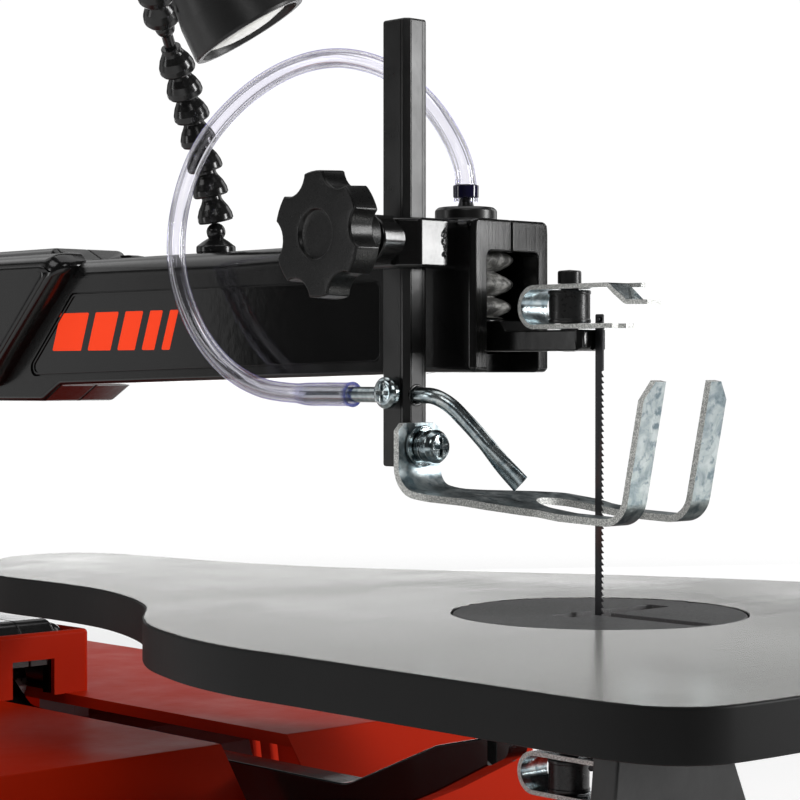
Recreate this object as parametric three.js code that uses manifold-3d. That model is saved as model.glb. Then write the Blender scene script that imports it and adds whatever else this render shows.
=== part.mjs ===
// Benchtop parallel-arm scroll saw, 16 inch class, built as separate pieces.
//
// Modelling frame: the blade stands at x = 0, y = 0, the table top is z = 0,
// +X is the operator's right, +Y runs back towards the arm pivots, +Z is up.
// The outer group moves everything so that the origin is the bottom centre of
// the whole machine, and the operator stands on the -Y side.
// All lengths are millimetres.

import * as THREE from 'three';
import * as BufferGeometryUtils from 'three/addons/utils/BufferGeometryUtils.js';
import Module from 'manifold-3d';

const wasm = await Module();
wasm.setup();

// ---------------------------------------------------------------- dimensions
const TABLE_HEIGHT = 152;          // table top above the bench
const CENTRE_X = 0;                // middle of the machine's width
const CENTRE_Y = 196.06;           // middle of the machine's length
const THROAT = 406;                // blade to column
const BLADE_LENGTH = 127;          // pin-end blade, 5 inch
const BLADE_WIDTH = 2.8;
const BLADE_THICKNESS = 0.5;
const BLADE_TOP = 82.8;
const PIVOT_Y = 430;               // both arm pivots
const UPPER_PIVOT_Z = 78;
const LOWER_PIVOT_Z = -47;
const BLADE_PIN_Z = 81.8;          // upper cross pin of the blade
const MIRROR_Z = 38.6;             // z of a lower blade-holder feature is this minus the upper one
const ARM_HALF = 6;                // rocker arm half thickness
const HEAD_HALF = 16;              // cast arm half width
const HOUSING_HALF = 24;           // rear housing half width
const ARM_TOP = 106.4;
const HEAD_TOP = 111.2;
const GAP = 0.3;                   // clearance between touching pieces
const SEAM = 0.15;                 // half the gap between the two frame castings
const TABLE_THICK = 12;
const TABLE_SKIN = 4.5;
const INSERT_R = 41;
const BASE_BOTTOM = -142;
const BASE_TOP = -54;
const DECK_TOP = -105;
const POST = { x0: -30.7, x1: -22.8, y0: 46, y1: 56, z0: 40, z1: 168 };
const CRANK_Y = 312;
const CRANK_Z = -99;
const THROW = 1.96;
const ROD_Y = 462;                 // tension rod

// ------------------------------------------------------------------- helpers
function solid(geometry) {
  let g = geometry.clone();
  for (const name of Object.keys(g.attributes)) if (name !== 'position') g.deleteAttribute(name);
  g = BufferGeometryUtils.mergeVertices(g, 1e-4);
  return new wasm.Manifold(new wasm.Mesh({
    numProp: 3,
    vertProperties: new Float32Array(g.attributes.position.array),
    triVerts: new Uint32Array(g.index.array),
  }));
}
function geometryOf(manifold) {
  const m = manifold.getMesh();
  const g = new THREE.BufferGeometry();
  const pos = new Float32Array(m.numVert * 3);
  for (let i = 0; i < m.numVert; i++) for (let k = 0; k < 3; k++) pos[3 * i + k] = m.vertProperties[i * m.numProp + k];
  g.setAttribute('position', new THREE.BufferAttribute(pos, 3));
  g.setIndex(new THREE.BufferAttribute(new Uint32Array(m.triVerts), 1));
  g.computeVertexNormals();
  return g;
}
const join = (...parts) => parts.map((p) => (p.isBufferGeometry ? solid(p) : p)).reduce((a, b) => a.add(b));
const cut = (a, ...tools) => tools.map((p) => (p.isBufferGeometry ? solid(p) : p)).reduce((s, t) => s.subtract(t), a.isBufferGeometry ? solid(a) : a);
const common = (a, b) => (a.isBufferGeometry ? solid(a) : a).intersect(b.isBufferGeometry ? solid(b) : b);

function box(x0, x1, y0, y1, z0, z1) {
  const g = new THREE.BoxGeometry(x1 - x0, y1 - y0, z1 - z0);
  g.translate((x0 + x1) / 2, (y0 + y1) / 2, (z0 + z1) / 2);
  return g;
}
function cylZ(r, z0, z1, x = 0, y = 0, n = 14) {
  const g = new THREE.CylinderGeometry(r, r, z1 - z0, n);
  g.rotateX(Math.PI / 2);
  g.translate(x, y, (z0 + z1) / 2);
  return g;
}
function cylX(r, x0, x1, y, z, n = 14) {
  const g = new THREE.CylinderGeometry(r, r, x1 - x0, n);
  g.rotateZ(Math.PI / 2);
  g.translate((x0 + x1) / 2, y, z);
  return g;
}
function cylY(r, y0, y1, x, z, n = 14) {
  const g = new THREE.CylinderGeometry(r, r, y1 - y0, n);
  g.translate(x, (y0 + y1) / 2, z);
  return g;
}
// profile of [radius, height] pairs turned about +Z
function turned(profile, n = 14) {
  const g = new THREE.LatheGeometry(profile.map(([r, z]) => new THREE.Vector2(r, z)), n);
  g.rotateX(Math.PI / 2);
  return g;
}
function area(pts) {
  let a = 0;
  for (let i = 0; i < pts.length; i++) {
    const [x0, y0] = pts[i]; const [x1, y1] = pts[(i + 1) % pts.length];
    a += x0 * y1 - x1 * y0;
  }
  return a / 2;
}
const shapeOf = (pts) => new THREE.Shape(pts.map(([a, b]) => new THREE.Vector2(a, b)));
function extrudeZ(pts, z0, z1) {
  const g = new THREE.ExtrudeGeometry(shapeOf(pts), { depth: z1 - z0, bevelEnabled: false, curveSegments: 8 });
  g.translate(0, 0, z0);
  return g;
}
// outline in (y, z), pushed along X
function extrudeX(pts, x0, x1) {
  const g = new THREE.ExtrudeGeometry(shapeOf(pts), { depth: x1 - x0, bevelEnabled: false });
  g.applyMatrix4(new THREE.Matrix4().makeBasis(new THREE.Vector3(0, 1, 0), new THREE.Vector3(0, 0, 1), new THREE.Vector3(1, 0, 0)));
  g.translate(x0, 0, 0);
  return g;
}
// outline in (x, z), pushed along Y
function extrudeY(pts, y0, y1) {
  const g = new THREE.ExtrudeGeometry(shapeOf(pts), { depth: y1 - y0, bevelEnabled: false });
  g.rotateX(Math.PI / 2);
  g.translate(0, y1, 0);
  return g;
}
// solid through a stack of outlines with the same number of points; place(p, level) gives the 3D point
function loft(levels, place) {
  if (area(levels[0].pts) < 0) levels = levels.map((lv) => ({ at: lv.at, pts: [...lv.pts].reverse() }));
  const n = levels[0].pts.length;
  const pos = []; const idx = [];
  for (const lv of levels) for (const p of lv.pts) pos.push(...place(p, lv.at));
  for (let k = 0; k + 1 < levels.length; k++) for (let i = 0; i < n; i++) {
    const j = (i + 1) % n; const a = k * n + i; const b = k * n + j; const c = (k + 1) * n + j; const d = (k + 1) * n + i;
    idx.push(a, b, c, a, c, d);
  }
  const cap = (lv) => THREE.ShapeUtils.triangulateShape(levels[lv].pts.map(([a, b]) => new THREE.Vector2(a, b)), []);
  for (const [a, b, c] of cap(0)) idx.push(a, c, b);
  const o = (levels.length - 1) * n;
  for (const [a, b, c] of cap(levels.length - 1)) idx.push(o + a, o + b, o + c);
  const g = new THREE.BufferGeometry();
  g.setAttribute('position', new THREE.BufferAttribute(new Float32Array(pos), 3));
  g.setIndex(idx);
  // turn the faces outwards if the outline ran the other way
  let vol = 0; const P = g.attributes.position; const v = [new THREE.Vector3(), new THREE.Vector3(), new THREE.Vector3()];
  for (let t = 0; t < idx.length; t += 3) {
    for (let k = 0; k < 3; k++) v[k].fromBufferAttribute(P, idx[t + k]);
    vol += v[0].dot(v[1].cross(v[2]));
  }
  if (vol < 0) { for (let t = 0; t < idx.length; t += 3) { const s = idx[t + 1]; idx[t + 1] = idx[t + 2]; idx[t + 2] = s; } g.setIndex(idx); }
  return g;
}
const loftZ = (levels) => loft(levels, (p, z) => [p[0], p[1], z]);
const loftX = (levels) => loft(levels, (p, x) => [x, p[0], p[1]]);
// corners rounded: pts are [a, b, radius]
function rounded(pts, seg = 2) {
  const out = [];
  const n = pts.length;
  for (let i = 0; i < n; i++) {
    const p = new THREE.Vector2(pts[i][0], pts[i][1]); const r = pts[i][2] || 0;
    if (!r) { out.push([p.x, p.y]); continue; }
    const a = new THREE.Vector2(...pts[(i + n - 1) % n].slice(0, 2)).sub(p).normalize();
    const b = new THREE.Vector2(...pts[(i + 1) % n].slice(0, 2)).sub(p).normalize();
    const half = Math.acos(THREE.MathUtils.clamp(a.dot(b), -1, 1)) / 2;
    const t = r / Math.tan(half);
    const c = a.clone().add(b).normalize().multiplyScalar(r / Math.sin(half)).add(p);
    const s = p.clone().addScaledVector(a, t).sub(c); const e = p.clone().addScaledVector(b, t).sub(c);
    let a0 = Math.atan2(s.y, s.x); let d = Math.atan2(e.y, e.x) - a0;
    while (d > Math.PI) d -= 2 * Math.PI; while (d < -Math.PI) d += 2 * Math.PI;
    for (let k = 0; k <= seg; k++) { const q = a0 + (d * k) / seg; out.push([c.x + r * Math.cos(q), c.y + r * Math.sin(q)]); }
  }
  return out;
}
const rect = (x0, x1, y0, y1, r = 0, seg = 3) => rounded([[x0, y0, r], [x1, y0, r], [x1, y1, r], [x0, y1, r]], seg);
// open centre line with rounded corners -> closed band of the given thickness
function band(path, thickness, seg = 3) {
  const line = [];
  for (let i = 0; i < path.length; i++) {
    const r = path[i][2] || 0;
    if (!r || i === 0 || i === path.length - 1) { line.push([path[i][0], path[i][1]]); continue; }
    const tri = rounded([path[i - 1].slice(0, 2), path[i], path[i + 1].slice(0, 2)], seg);
    line.push(...tri.slice(1, -1));
  }
  const left = []; const right = [];
  for (let i = 0; i < line.length; i++) {
    const a = new THREE.Vector2(...line[Math.max(0, i - 1)]); const b = new THREE.Vector2(...line[Math.min(line.length - 1, i + 1)]);
    const t0 = new THREE.Vector2(...line[i]).sub(a); const t1 = b.clone().sub(new THREE.Vector2(...line[i]));
    const m = new THREE.Vector2();
    if (t0.length() > 0) m.add(t0.clone().normalize()); if (t1.length() > 0) m.add(t1.clone().normalize());
    m.normalize();
    const ref = t1.length() > 0 ? t1.clone().normalize() : t0.clone().normalize();
    const k = (thickness / 2) / Math.max(0.5, m.dot(ref));
    left.push([line[i][0] - m.y * k, line[i][1] + m.x * k]);
    right.push([line[i][0] + m.y * k, line[i][1] - m.x * k]);
  }
  const pts = [...left, ...right.reverse()];
  return area(pts) < 0 ? pts.reverse() : pts;
}
// round bar along a smooth path
function sweep(points, r, sides = 12, steps = 30) {
  const curve = new THREE.CatmullRomCurve3(points.map((p) => new THREE.Vector3(...p)), false, 'centripetal');
  const c = new THREE.Shape();
  const ring = [];
  for (let i = 0; i < sides; i++) ring.push(new THREE.Vector2(r * Math.cos((2 * Math.PI * i) / sides), r * Math.sin((2 * Math.PI * i) / sides)));
  c.setFromPoints(ring);
  return new THREE.ExtrudeGeometry(c, { steps, bevelEnabled: false, extrudePath: curve });
}
// lobed knob outline
function lobes(count, rOut, rIn, n = 72, phase = 0) {
  const pts = [];
  for (let i = 0; i < n; i++) {
    const a = (2 * Math.PI * i) / n;
    const w = Math.cos(count * (a + phase));
    const s = Math.sign(w) * Math.pow(Math.abs(w), 0.8);
    const r = (rOut + rIn) / 2 + ((rOut - rIn) / 2) * s;
    pts.push([r * Math.cos(a), r * Math.sin(a)]);
  }
  return pts;
}

const paint = (color, roughness, metalness) => new THREE.MeshStandardMaterial({ color, roughness, metalness });
const MAT = {
  black: () => paint(0x101010, 0.3, 0.1),
  matte: () => paint(0x1c1c1c, 0.6, 0.0),
  rubber: () => paint(0x2a2928, 0.8, 0.0),
  orange: () => paint(0xd8401a, 0.4, 0.1),
  zinc: () => paint(0xb8c0c4, 0.3, 1.0),
  steel: () => paint(0x8c9094, 0.35, 1.0),
  blade: () => paint(0x17181a, 0.4, 0.7),
  table: () => paint(0xc8c8c2, 0.4, 0.9),
  insert: () => paint(0x3a3a3c, 0.6, 0.0),
  motor: () => paint(0x5a5e62, 0.5, 0.6),
  vinyl: () => paint(0xdcd8f0, 0.15, 0.0),
  lens: () => paint(0xf2f2ea, 0.2, 0.0),
};

const group = new THREE.Group();
group.position.set(-CENTRE_X, -CENTRE_Y, TABLE_HEIGHT);
function add(name, shape, material, position, rotation, parent = group) {
  const g = shape.isBufferGeometry ? shape : geometryOf(shape);
  const m = new THREE.Mesh(g, material);
  m.name = name;
  if (position) m.position.set(...position);
  if (rotation) m.rotation.set(...rotation);
  parent.add(m);
  return m;
}

// ---------------------------------------------------------------------- base
const FEET = [[-108, -88], [108, -88], [-108, 475], [108, 475]];
const baseSlope = [[112, DECK_TOP], [152, BASE_TOP]];
{
  const outer = loftZ([
    { at: BASE_BOTTOM, pts: rect(-130, 130, -110, 498, 26) },
    { at: BASE_TOP, pts: rect(-118, 118, -104, 492, 22) },
  ]);
  const step = extrudeX([[-200, DECK_TOP], ...baseSlope, [152, 0], [-200, 0]], -200, 200);
  const inner = loftZ([
    { at: BASE_BOTTOM - 1, pts: rect(-126.1, 126.1, -106.1, 494.1, 22) },
    { at: BASE_TOP - 4, pts: rect(-114.5, 114.5, -100.5, 488.5, 18) },
  ]);
  const innerStep = extrudeX([[-200, DECK_TOP - 4], [109.5, DECK_TOP - 4], [149.5, BASE_TOP - 4], [149.5, 0], [-200, 0]], -200, 200);
  let shell = cut(outer, step);
  let hollow = cut(inner, innerStep);
  // foot bosses inside the corners
  for (const [x, y] of FEET) hollow = hollow.subtract(solid(box(x - (x > 0 ? 12 : 22), x + (x > 0 ? 22 : 12), y - (y > 0 ? 12 : 22), y + (y > 0 ? 22 : 12), BASE_BOTTOM, BASE_BOTTOM + 12)));
  shell = shell.subtract(hollow);
  shell = cut(shell,
    box(-14, 14, 106, 478, -100, BASE_TOP + 10),
    cylY(16, 480, 505, -62, -98),
    box(20, 42, -115, -96, -131, -117));
  // cooling slots beside the motor
  for (let i = 0; i < 6; i++) shell = shell.subtract(solid(box(100, 140, 282 + i * 11, 287 + i * 11, -122, -78)));
  add('base_housing', shell, MAT.orange());
}
const footProfile = [[0, 0], [10.5, 0], [12, 1.5], [13, 7.5], [13, 9.7], [0, 9.7]];
['rubber_foot_front_left', 'rubber_foot_front_right', 'rubber_foot_rear_left', 'rubber_foot_rear_right'].forEach((name, i) => {
  add(name, turned(footProfile, 12), MAT.rubber(), [...FEET[i], -TABLE_HEIGHT]);
});

// ---------------------------------------------------------------- cast frame
// outline of the arm, head, column and lower limb at the casting's edge plane
const limb = rounded([
  [34, 67, 3.4], [34, HEAD_TOP, 3.5], [70, HEAD_TOP, 3], [78, ARM_TOP, 3], [236, ARM_TOP, 4], [246, 111, 4], [470, 111, 12], [489, 98, 10],
  [489, -53.7], [284, -53.7], [284, -38, 4], [294, -27, 6], [392, -27, 8], [THROAT, -13, 8], [THROAT, 43, 10], [394, 55.5, 10], [252, 56.5, 5], [241, 62.3, 4], [73, 66.3, 3], [66, 67],
]);
const wideA = [[229, 104], [235, 109], [466, 109], [486, 97], [487, -53.7], [285, -53.7], [285, -40], [295, -28.5], [396, -28.5], [407, -16], [407, 43], [396, 57], [300, 58], [277, 61.7]];
const wideB = [[237.4, 101.8], [241, 104], [463, 104], [481, 94], [482, -53.7], [290, -53.7], [290, -42], [299, -33.5], [401, -33.5], [412, -22], [412, 47], [400, 63], [300, 66], [266.6, 74.4]];
const hollowThin = [[40, 72.4], [40, 106.4], [67, 106.4], [75, 103], [236, 103], [246, 107.2], [462, 107.2], [484, 95], [484, -60], [288, -60], [288, -38], [297, -31], [401, -31], [410, -21], [410, 47], [399, 59.5], [252, 60.3], [243, 66.2], [73, 70.2], [60, 72.4]];
const hollowWide = [[286, 66], [286, 101], [460, 101], [477, 92], [477, -60], [294, -60], [294, -44], [302, -37], [404, -37], [416, -26], [416, 50], [405, 66]];
const screwSpots = [[300, 99.3, HOUSING_HALF - 0.2], [398, 98.5, HOUSING_HALF - 0.2], [422, 10, HOUSING_HALF - 0.2], [476, 20, HOUSING_HALF - 0.2]];
function frameHalf(side) {
  const s = side;
  const X = (a, b) => (s > 0 ? [a, b] : [-b, -a]);
  let body = solid(extrudeX(limb, ...X(SEAM, HEAD_HALF - 2.6)));
  // rounded long edges of the front arm: three thin steps towards the outer face
  const inset = (pts, d) => {
    const m = area(pts) > 0 ? 1 : -1; const n = pts.length;
    return pts.map((p, i) => {
      const a = pts[(i + n - 1) % n]; const b = pts[(i + 1) % n];
      const e0 = new THREE.Vector2(p[0] - a[0], p[1] - a[1]).normalize(); const e1 = new THREE.Vector2(b[0] - p[0], b[1] - p[1]).normalize();
      const t = e0.clone().add(e1).normalize(); const k = d / Math.max(0.6, t.dot(e1));
      return [p[0] - m * t.y * k, p[1] + m * t.x * k];
    });
  };
  const L = (x) => (s > 0 ? x : -x);
  body = body.add(solid(loftX([
    { at: L(HEAD_HALF - 2.7), pts: limb },
    { at: L(HEAD_HALF - 1.0), pts: inset(limb, 0.7) },
    { at: L(HEAD_HALF), pts: inset(limb, 2.4) },
  ])));
  body = body.add(solid(loftX([{ at: L(HEAD_HALF - 4), pts: wideA }, { at: L(HEAD_HALF), pts: wideA }, { at: L(HOUSING_HALF), pts: wideB }])));
  body = cut(body,
    extrudeX(hollowThin, ...X(0, 12.6)),
    extrudeX(hollowWide, ...X(0, 20)),
    cylZ(14.6, 83, 106.6, 0, 53, 18),
    cylZ(7, 105, 114, 0, 53, 12),
    box(...X(0, s > 0 ? 11 : 10), 30, 45, 60, 102),
    box(...X(0, 8.5), 280, 290, -60, -43),
    cylZ(6, 100, 114, 0, ROD_Y, 12));
  // bosses for the joining screws
  for (const [y, z, x] of screwSpots) body = body.add(solid(cylX(4.6, ...X(SEAM, 20.5), y, z, 14)));
  body = cut(body, ...screwSpots.map(([y, z]) => cylX(2.4, ...(s > 0 ? [0, 30] : [-14, 0]), y, z, 12)));
  if (s > 0) body = cut(body, ...screwSpots.map(([y, z]) => cylX(5, HOUSING_HALF - 1, 30, y, z, 10)));
  // pivot pin seats
  body = cut(body,
    cylX(5.3, ...X(0, 23.3), PIVOT_Y, UPPER_PIVOT_Z, 12),
    cylX(5.3, ...X(0, 23.3), PIVOT_Y, LOWER_PIVOT_Z, 12));
  // recess for the side panel
  const panelCut = rounded([[73, 70, 3], [73, 94.7, 3], [233, 94.7, 3], [263.5, 65.2, 3]].map(([y, z, r]) => [y, z, r]));
  body = cut(body, extrudeX(panelCut, ...X(14.6, 15.6 + 1)));
  if (s < 0) {
    // lug that carries the foot post, with the threaded boss for its lock knob
    const lug = extrudeZ(rounded([[-15, 42], [-29, 40.6, 3], [-35, 44, 4], [-35, 58, 4], [-30, 62, 4], [-15, 62]]), 96.5, 111);
    body = join(body, common(lug, box(-40, -12.8, 30, 70, 90, 120)), cylX(6.7, -41, -33, 51, 104.8, 14));
    body = cut(body,
      extrudeZ(rect(POST.x0 - 0.4, POST.x1 + 0.4, POST.y0 - 0.4, POST.y1 + 0.4), 90, 120),
      cylX(3.4, -45, -28, 51, 105.4, 10));
  }
  return body;
}
add('frame_half_left', frameHalf(-1), MAT.black());
add('frame_half_right', frameHalf(1), MAT.black());
for (const s of [-1, 1]) {
  const outline = rounded([[73.4, 70.4, 2.8], [73.4, 94.3, 2.8], [232.8, 94.3, 2.8], [262.3, 65.8, 2.8]]);
  add(s < 0 ? 'side_panel_left' : 'side_panel_right', extrudeX(outline, ...(s < 0 ? [-15.8, -14.9] : [14.9, 15.8])), paint(0x080808, 0.12, 0));
}
screwSpots.forEach(([y, z, x], i) => {
  const s = join(cylX(2.1, -13, HOUSING_HALF - 0.5, y, z, 12), cut(cylX(4.1, HOUSING_HALF - 0.7, HOUSING_HALF + 2, y, z, 10), box(HOUSING_HALF + 1, HOUSING_HALF + 3, y - 3, y + 3, z - 0.5, z + 0.5)));
  add(`frame_screw_${i + 1}`, s, MAT.zinc());
});
add('upper_pivot_pin', cylX(5, -23, 23, 0, 0, 12), MAT.steel(), [0, PIVOT_Y, UPPER_PIVOT_Z]);
add('lower_pivot_pin', cylX(5, -23, 23, 0, 0, 12), MAT.steel(), [0, PIVOT_Y, LOWER_PIVOT_Z]);

// ------------------------------------------------------------- bellows, cap
add('bellows_cap', turned([[1.4, -4.6], [6.4, -4.6], [6.4, 0.3], [9.8, 0.3], [9.8, 1.1], [9.2, 1.3], [9.2, 4.4], [8.4, 5.3], [2.6, 5.3], [2.6, 9.4], [1.4, 9.4], [1.4, -4.6]], 16), MAT.black(), [0, 53, HEAD_TOP]);
{
  const out = [[10.6, 0], [13.6, 2.6], [10.6, 6.2], [13.8, 10.4], [10.6, 14], [13.8, 17.4], [10.6, 20.6], [12, 23]];
  const inn = [...out].reverse().map(([r, z]) => [r - 1.3, z]);
  add('bellows', turned([...out, ...inn, out[0]], 16), MAT.rubber(), [0, 53, 83]);
}

// ------------------------------------------------------------------- arms
{
  const outline = rounded([
    [2, 74, 1.2], [2, 78.9, 1.2], [31, 79, 0], [33, 82, 0], [92, 82, 6], [150, 87, 20], [300, 89, 20], [416, 91, 8], [440, 91, 8], [468, 84, 4],
    [468, 71, 4], [440, 65, 8], [416, 65, 8], [250, 70, 20], [100, 73, 10], [4, 73, 1],
  ]);
  const pad = cylZ(12.3, 79.5, 82.6, 0, 53, 14);
  let arm = join(extrudeX(outline, -ARM_HALF, ARM_HALF), pad, cylX(13, -8.5, 8.5, PIVOT_Y, UPPER_PIVOT_Z, 16));
  arm = cut(arm, cylX(8.4, -12, 12, PIVOT_Y, UPPER_PIVOT_Z, 14), cylZ(3, 60, 90, 0, 11.4, 10), cylZ(4, 50, 110, 0, ROD_Y, 10));
  // pocket in the nose end for the blade
  arm = cut(arm, box(-1.1, 1.1, 0, 3.6, 60, 90));
  add('upper_rocker_arm', arm, MAT.black());
  const lower = rounded([
    [2, -39.5, 0.8], [2, -36.9, 0.8], [30, -36.9, 0], [60, -44, 8], [100, -61, 14], [262, -61, 14], [292, -58.5, 8], [316, -41, 8], [418, -37, 8], [442, -37, 8], [468, -41, 4],
    [468, -54, 4], [442, -60, 8], [418, -60, 8], [330, -54, 10], [300, -68, 12], [262, -75, 14], [100, -75, 20], [60, -58, 10], [32, -44.2, 3], [31, -40.4, 0], [4, -40.4, 0.5],
  ]);
  let low = join(cut(extrudeX(lower, -ARM_HALF, ARM_HALF), box(4, 8, -5, 38, -70, -20), box(-8, -4, -5, 38, -70, -20)),
    cylX(12.3, -8.5, 8.5, PIVOT_Y, LOWER_PIVOT_Z, 16), cylX(3, 5, 13.4, CRANK_Y, -52, 10));
  low = cut(low, cylX(8.4, -12, 12, PIVOT_Y, LOWER_PIVOT_Z, 14), cylZ(3, -60, -20, 0, 11.4, 10), cylZ(4, -80, -20, 0, ROD_Y, 10), box(-1.1, 1.1, 0, 3.6, -50, -30));
  add('lower_rocker_arm', low, MAT.black());
  const bush = turned([[5.35, -8.4], [8.1, -8.4], [8.1, 8.4], [5.35, 8.4], [5.35, -8.4]], 14);
  bush.rotateY(Math.PI / 2);
  add('upper_pivot_bush', bush, paint(0x9a7a3c, 0.4, 1), [0, PIVOT_Y, UPPER_PIVOT_Z]);
  add('lower_pivot_bush', bush.clone(), paint(0x9a7a3c, 0.4, 1), [0, PIVOT_Y, LOWER_PIVOT_Z]);
}

// blade holders: sprung strip folded into a U, clamped to the arm nose
function holder() {
  const strip = extrudeX(band([[-8, 79.95], [22.4, 79.95, 5.5], [28.2, 85.6, 5.5], [22.4, 91.15, 5.5], [-7.7, 91.15, 2], [-13.7, 86.4, 2], [-20.5, 86.2]], 1.3, 4), -5.5, 5.5);
  let c = cut(strip, cylZ(3, 70, 100, 0, 11.4, 10), box(-0.8, 0.8, -12, 2.6, 76, 83), box(-8, 2.6, -11.5, -7, 76, 83));
  const finger = box(3.1, 5.5, -12.5, -6, 90.5, 91.8);
  c = c.add(solid(finger));
  return c;
}
{
  const up = holder();
  add('upper_blade_holder', up, MAT.zinc());
  const g = geometryOf(up);
  g.scale(1, 1, -1);
  const ix = g.index.array; for (let i = 0; i < ix.length; i += 3) { const t = ix[i + 1]; ix[i + 1] = ix[i + 2]; ix[i + 2] = t; }
  g.translate(0, 0, MIRROR_Z);
  add('lower_blade_holder', g, MAT.zinc());
  const spacer = turned([[3, 0], [6, 0], [6, 9.3], [3, 9.3], [3, 0]], 14);
  add('upper_holder_spacer', spacer, MAT.black(), [0, 11.4, 80.9]);
  add('lower_holder_spacer', spacer.clone(), MAT.black(), [0, 11.4, MIRROR_Z - 90.2]);
  const pin = turned([[0, 71.4], [2.5, 71.4], [2.5, 92.1], [3.35, 92.1], [3.35, 95.6], [2.9, 96], [0, 96]], 12);
  add('upper_holder_pin', pin, MAT.black(), [0, 11.4, 0]);
  const lowPin = turned([[0, MIRROR_Z - 96], [2.9, MIRROR_Z - 96], [3.35, MIRROR_Z - 95.6], [3.35, MIRROR_Z - 92.1], [2.5, MIRROR_Z - 92.1], [2.5, -36.6], [0, -36.6]], 12);
  add('lower_holder_pin', lowPin, MAT.black(), [0, 11.4, 0]);
}

// saw blade with its two cross pins
{
  const bottom = BLADE_TOP - BLADE_LENGTH; const h = BLADE_WIDTH / 2;
  const pts = [[h, bottom], [h, BLADE_TOP], [-h, BLADE_TOP]];
  // toothed stretch: the tooth gullets are shallower than this step
  pts.push([-h, 67.5], [-h + 0.3, 66.5], [-h + 0.3, -25.2]);
  pts.push([-h, -26.2], [-h, bottom]);
  const plate = extrudeX(area(pts) < 0 ? pts.reverse() : pts, -BLADE_THICKNESS / 2, BLADE_THICKNESS / 2);
  add('saw_blade', join(plate, cylX(0.9, -3.6, 3.6, 0, BLADE_PIN_Z, 12), cylX(0.9, -3.6, 3.6, 0, MIRROR_Z - BLADE_PIN_Z, 12)), MAT.blade());
}

// ------------------------------------------------------------- tension rod
add('tension_rod', join(cylZ(3, -66, 124, 0, 0, 10), cut(cylZ(6, -66, -61, 0, 0, 6))), MAT.steel(), [0, ROD_Y, 0]);
{
  let k = join(extrudeZ(lobes(7, 18.5, 16.5, 42), 118, 130), cylZ(9, 113.4, 119, 0, 0, 14));
  k = cut(k, cylZ(3.3, 110, 124.5, 0, 0, 10), cylZ(8, 128.6, 132, 0, 0, 14));
  add('tension_knob', k, MAT.matte(), [0, ROD_Y, 0]);
}

// --------------------------------------------------- motor, crank, con rod
{
  let can = join(cylX(34, 38, 104, 0, 0, 18), cylX(9, 103, 108, 0, 0, 12));
  can = cut(can, cylX(4.5, 30, 62, 0, 0, 10));
  add('motor_can', can, MAT.motor(), [0, CRANK_Y, CRANK_Z]);
  let bell = join(cylX(34, 31, 37.7, 0, 0, 18), box(31, 37.7, -12, 12, 20, 40.6));
  bell = cut(bell, cylX(4.5, 20, 50, 0, 0, 10));
  add('motor_end_bell', bell, MAT.motor(), [0, CRANK_Y, CRANK_Z]);
  const crank = join(cylX(12, 15, 20.5, 0, 0, 14), cylX(4, 20, 55, 0, 0, 10), cylX(4, 6.8, 15.2, 0, -THROW, 10));
  add('crank', crank, MAT.steel(), [0, CRANK_Y, CRANK_Z]);
  let rod = join(cylX(13, 7.2, 13, CRANK_Y, CRANK_Z - THROW, 18), cylX(6.5, 7.2, 13, CRANK_Y, -52, 14), box(7.2, 13, CRANK_Y - 4.5, CRANK_Y + 4.5, CRANK_Z + 8, -56));
  rod = cut(rod, cylX(8.5, 0, 20, CRANK_Y, CRANK_Z - THROW, 16), cylX(3.3, 0, 20, CRANK_Y, -52, 12));
  add('connecting_rod', rod, MAT.steel());
}

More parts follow.
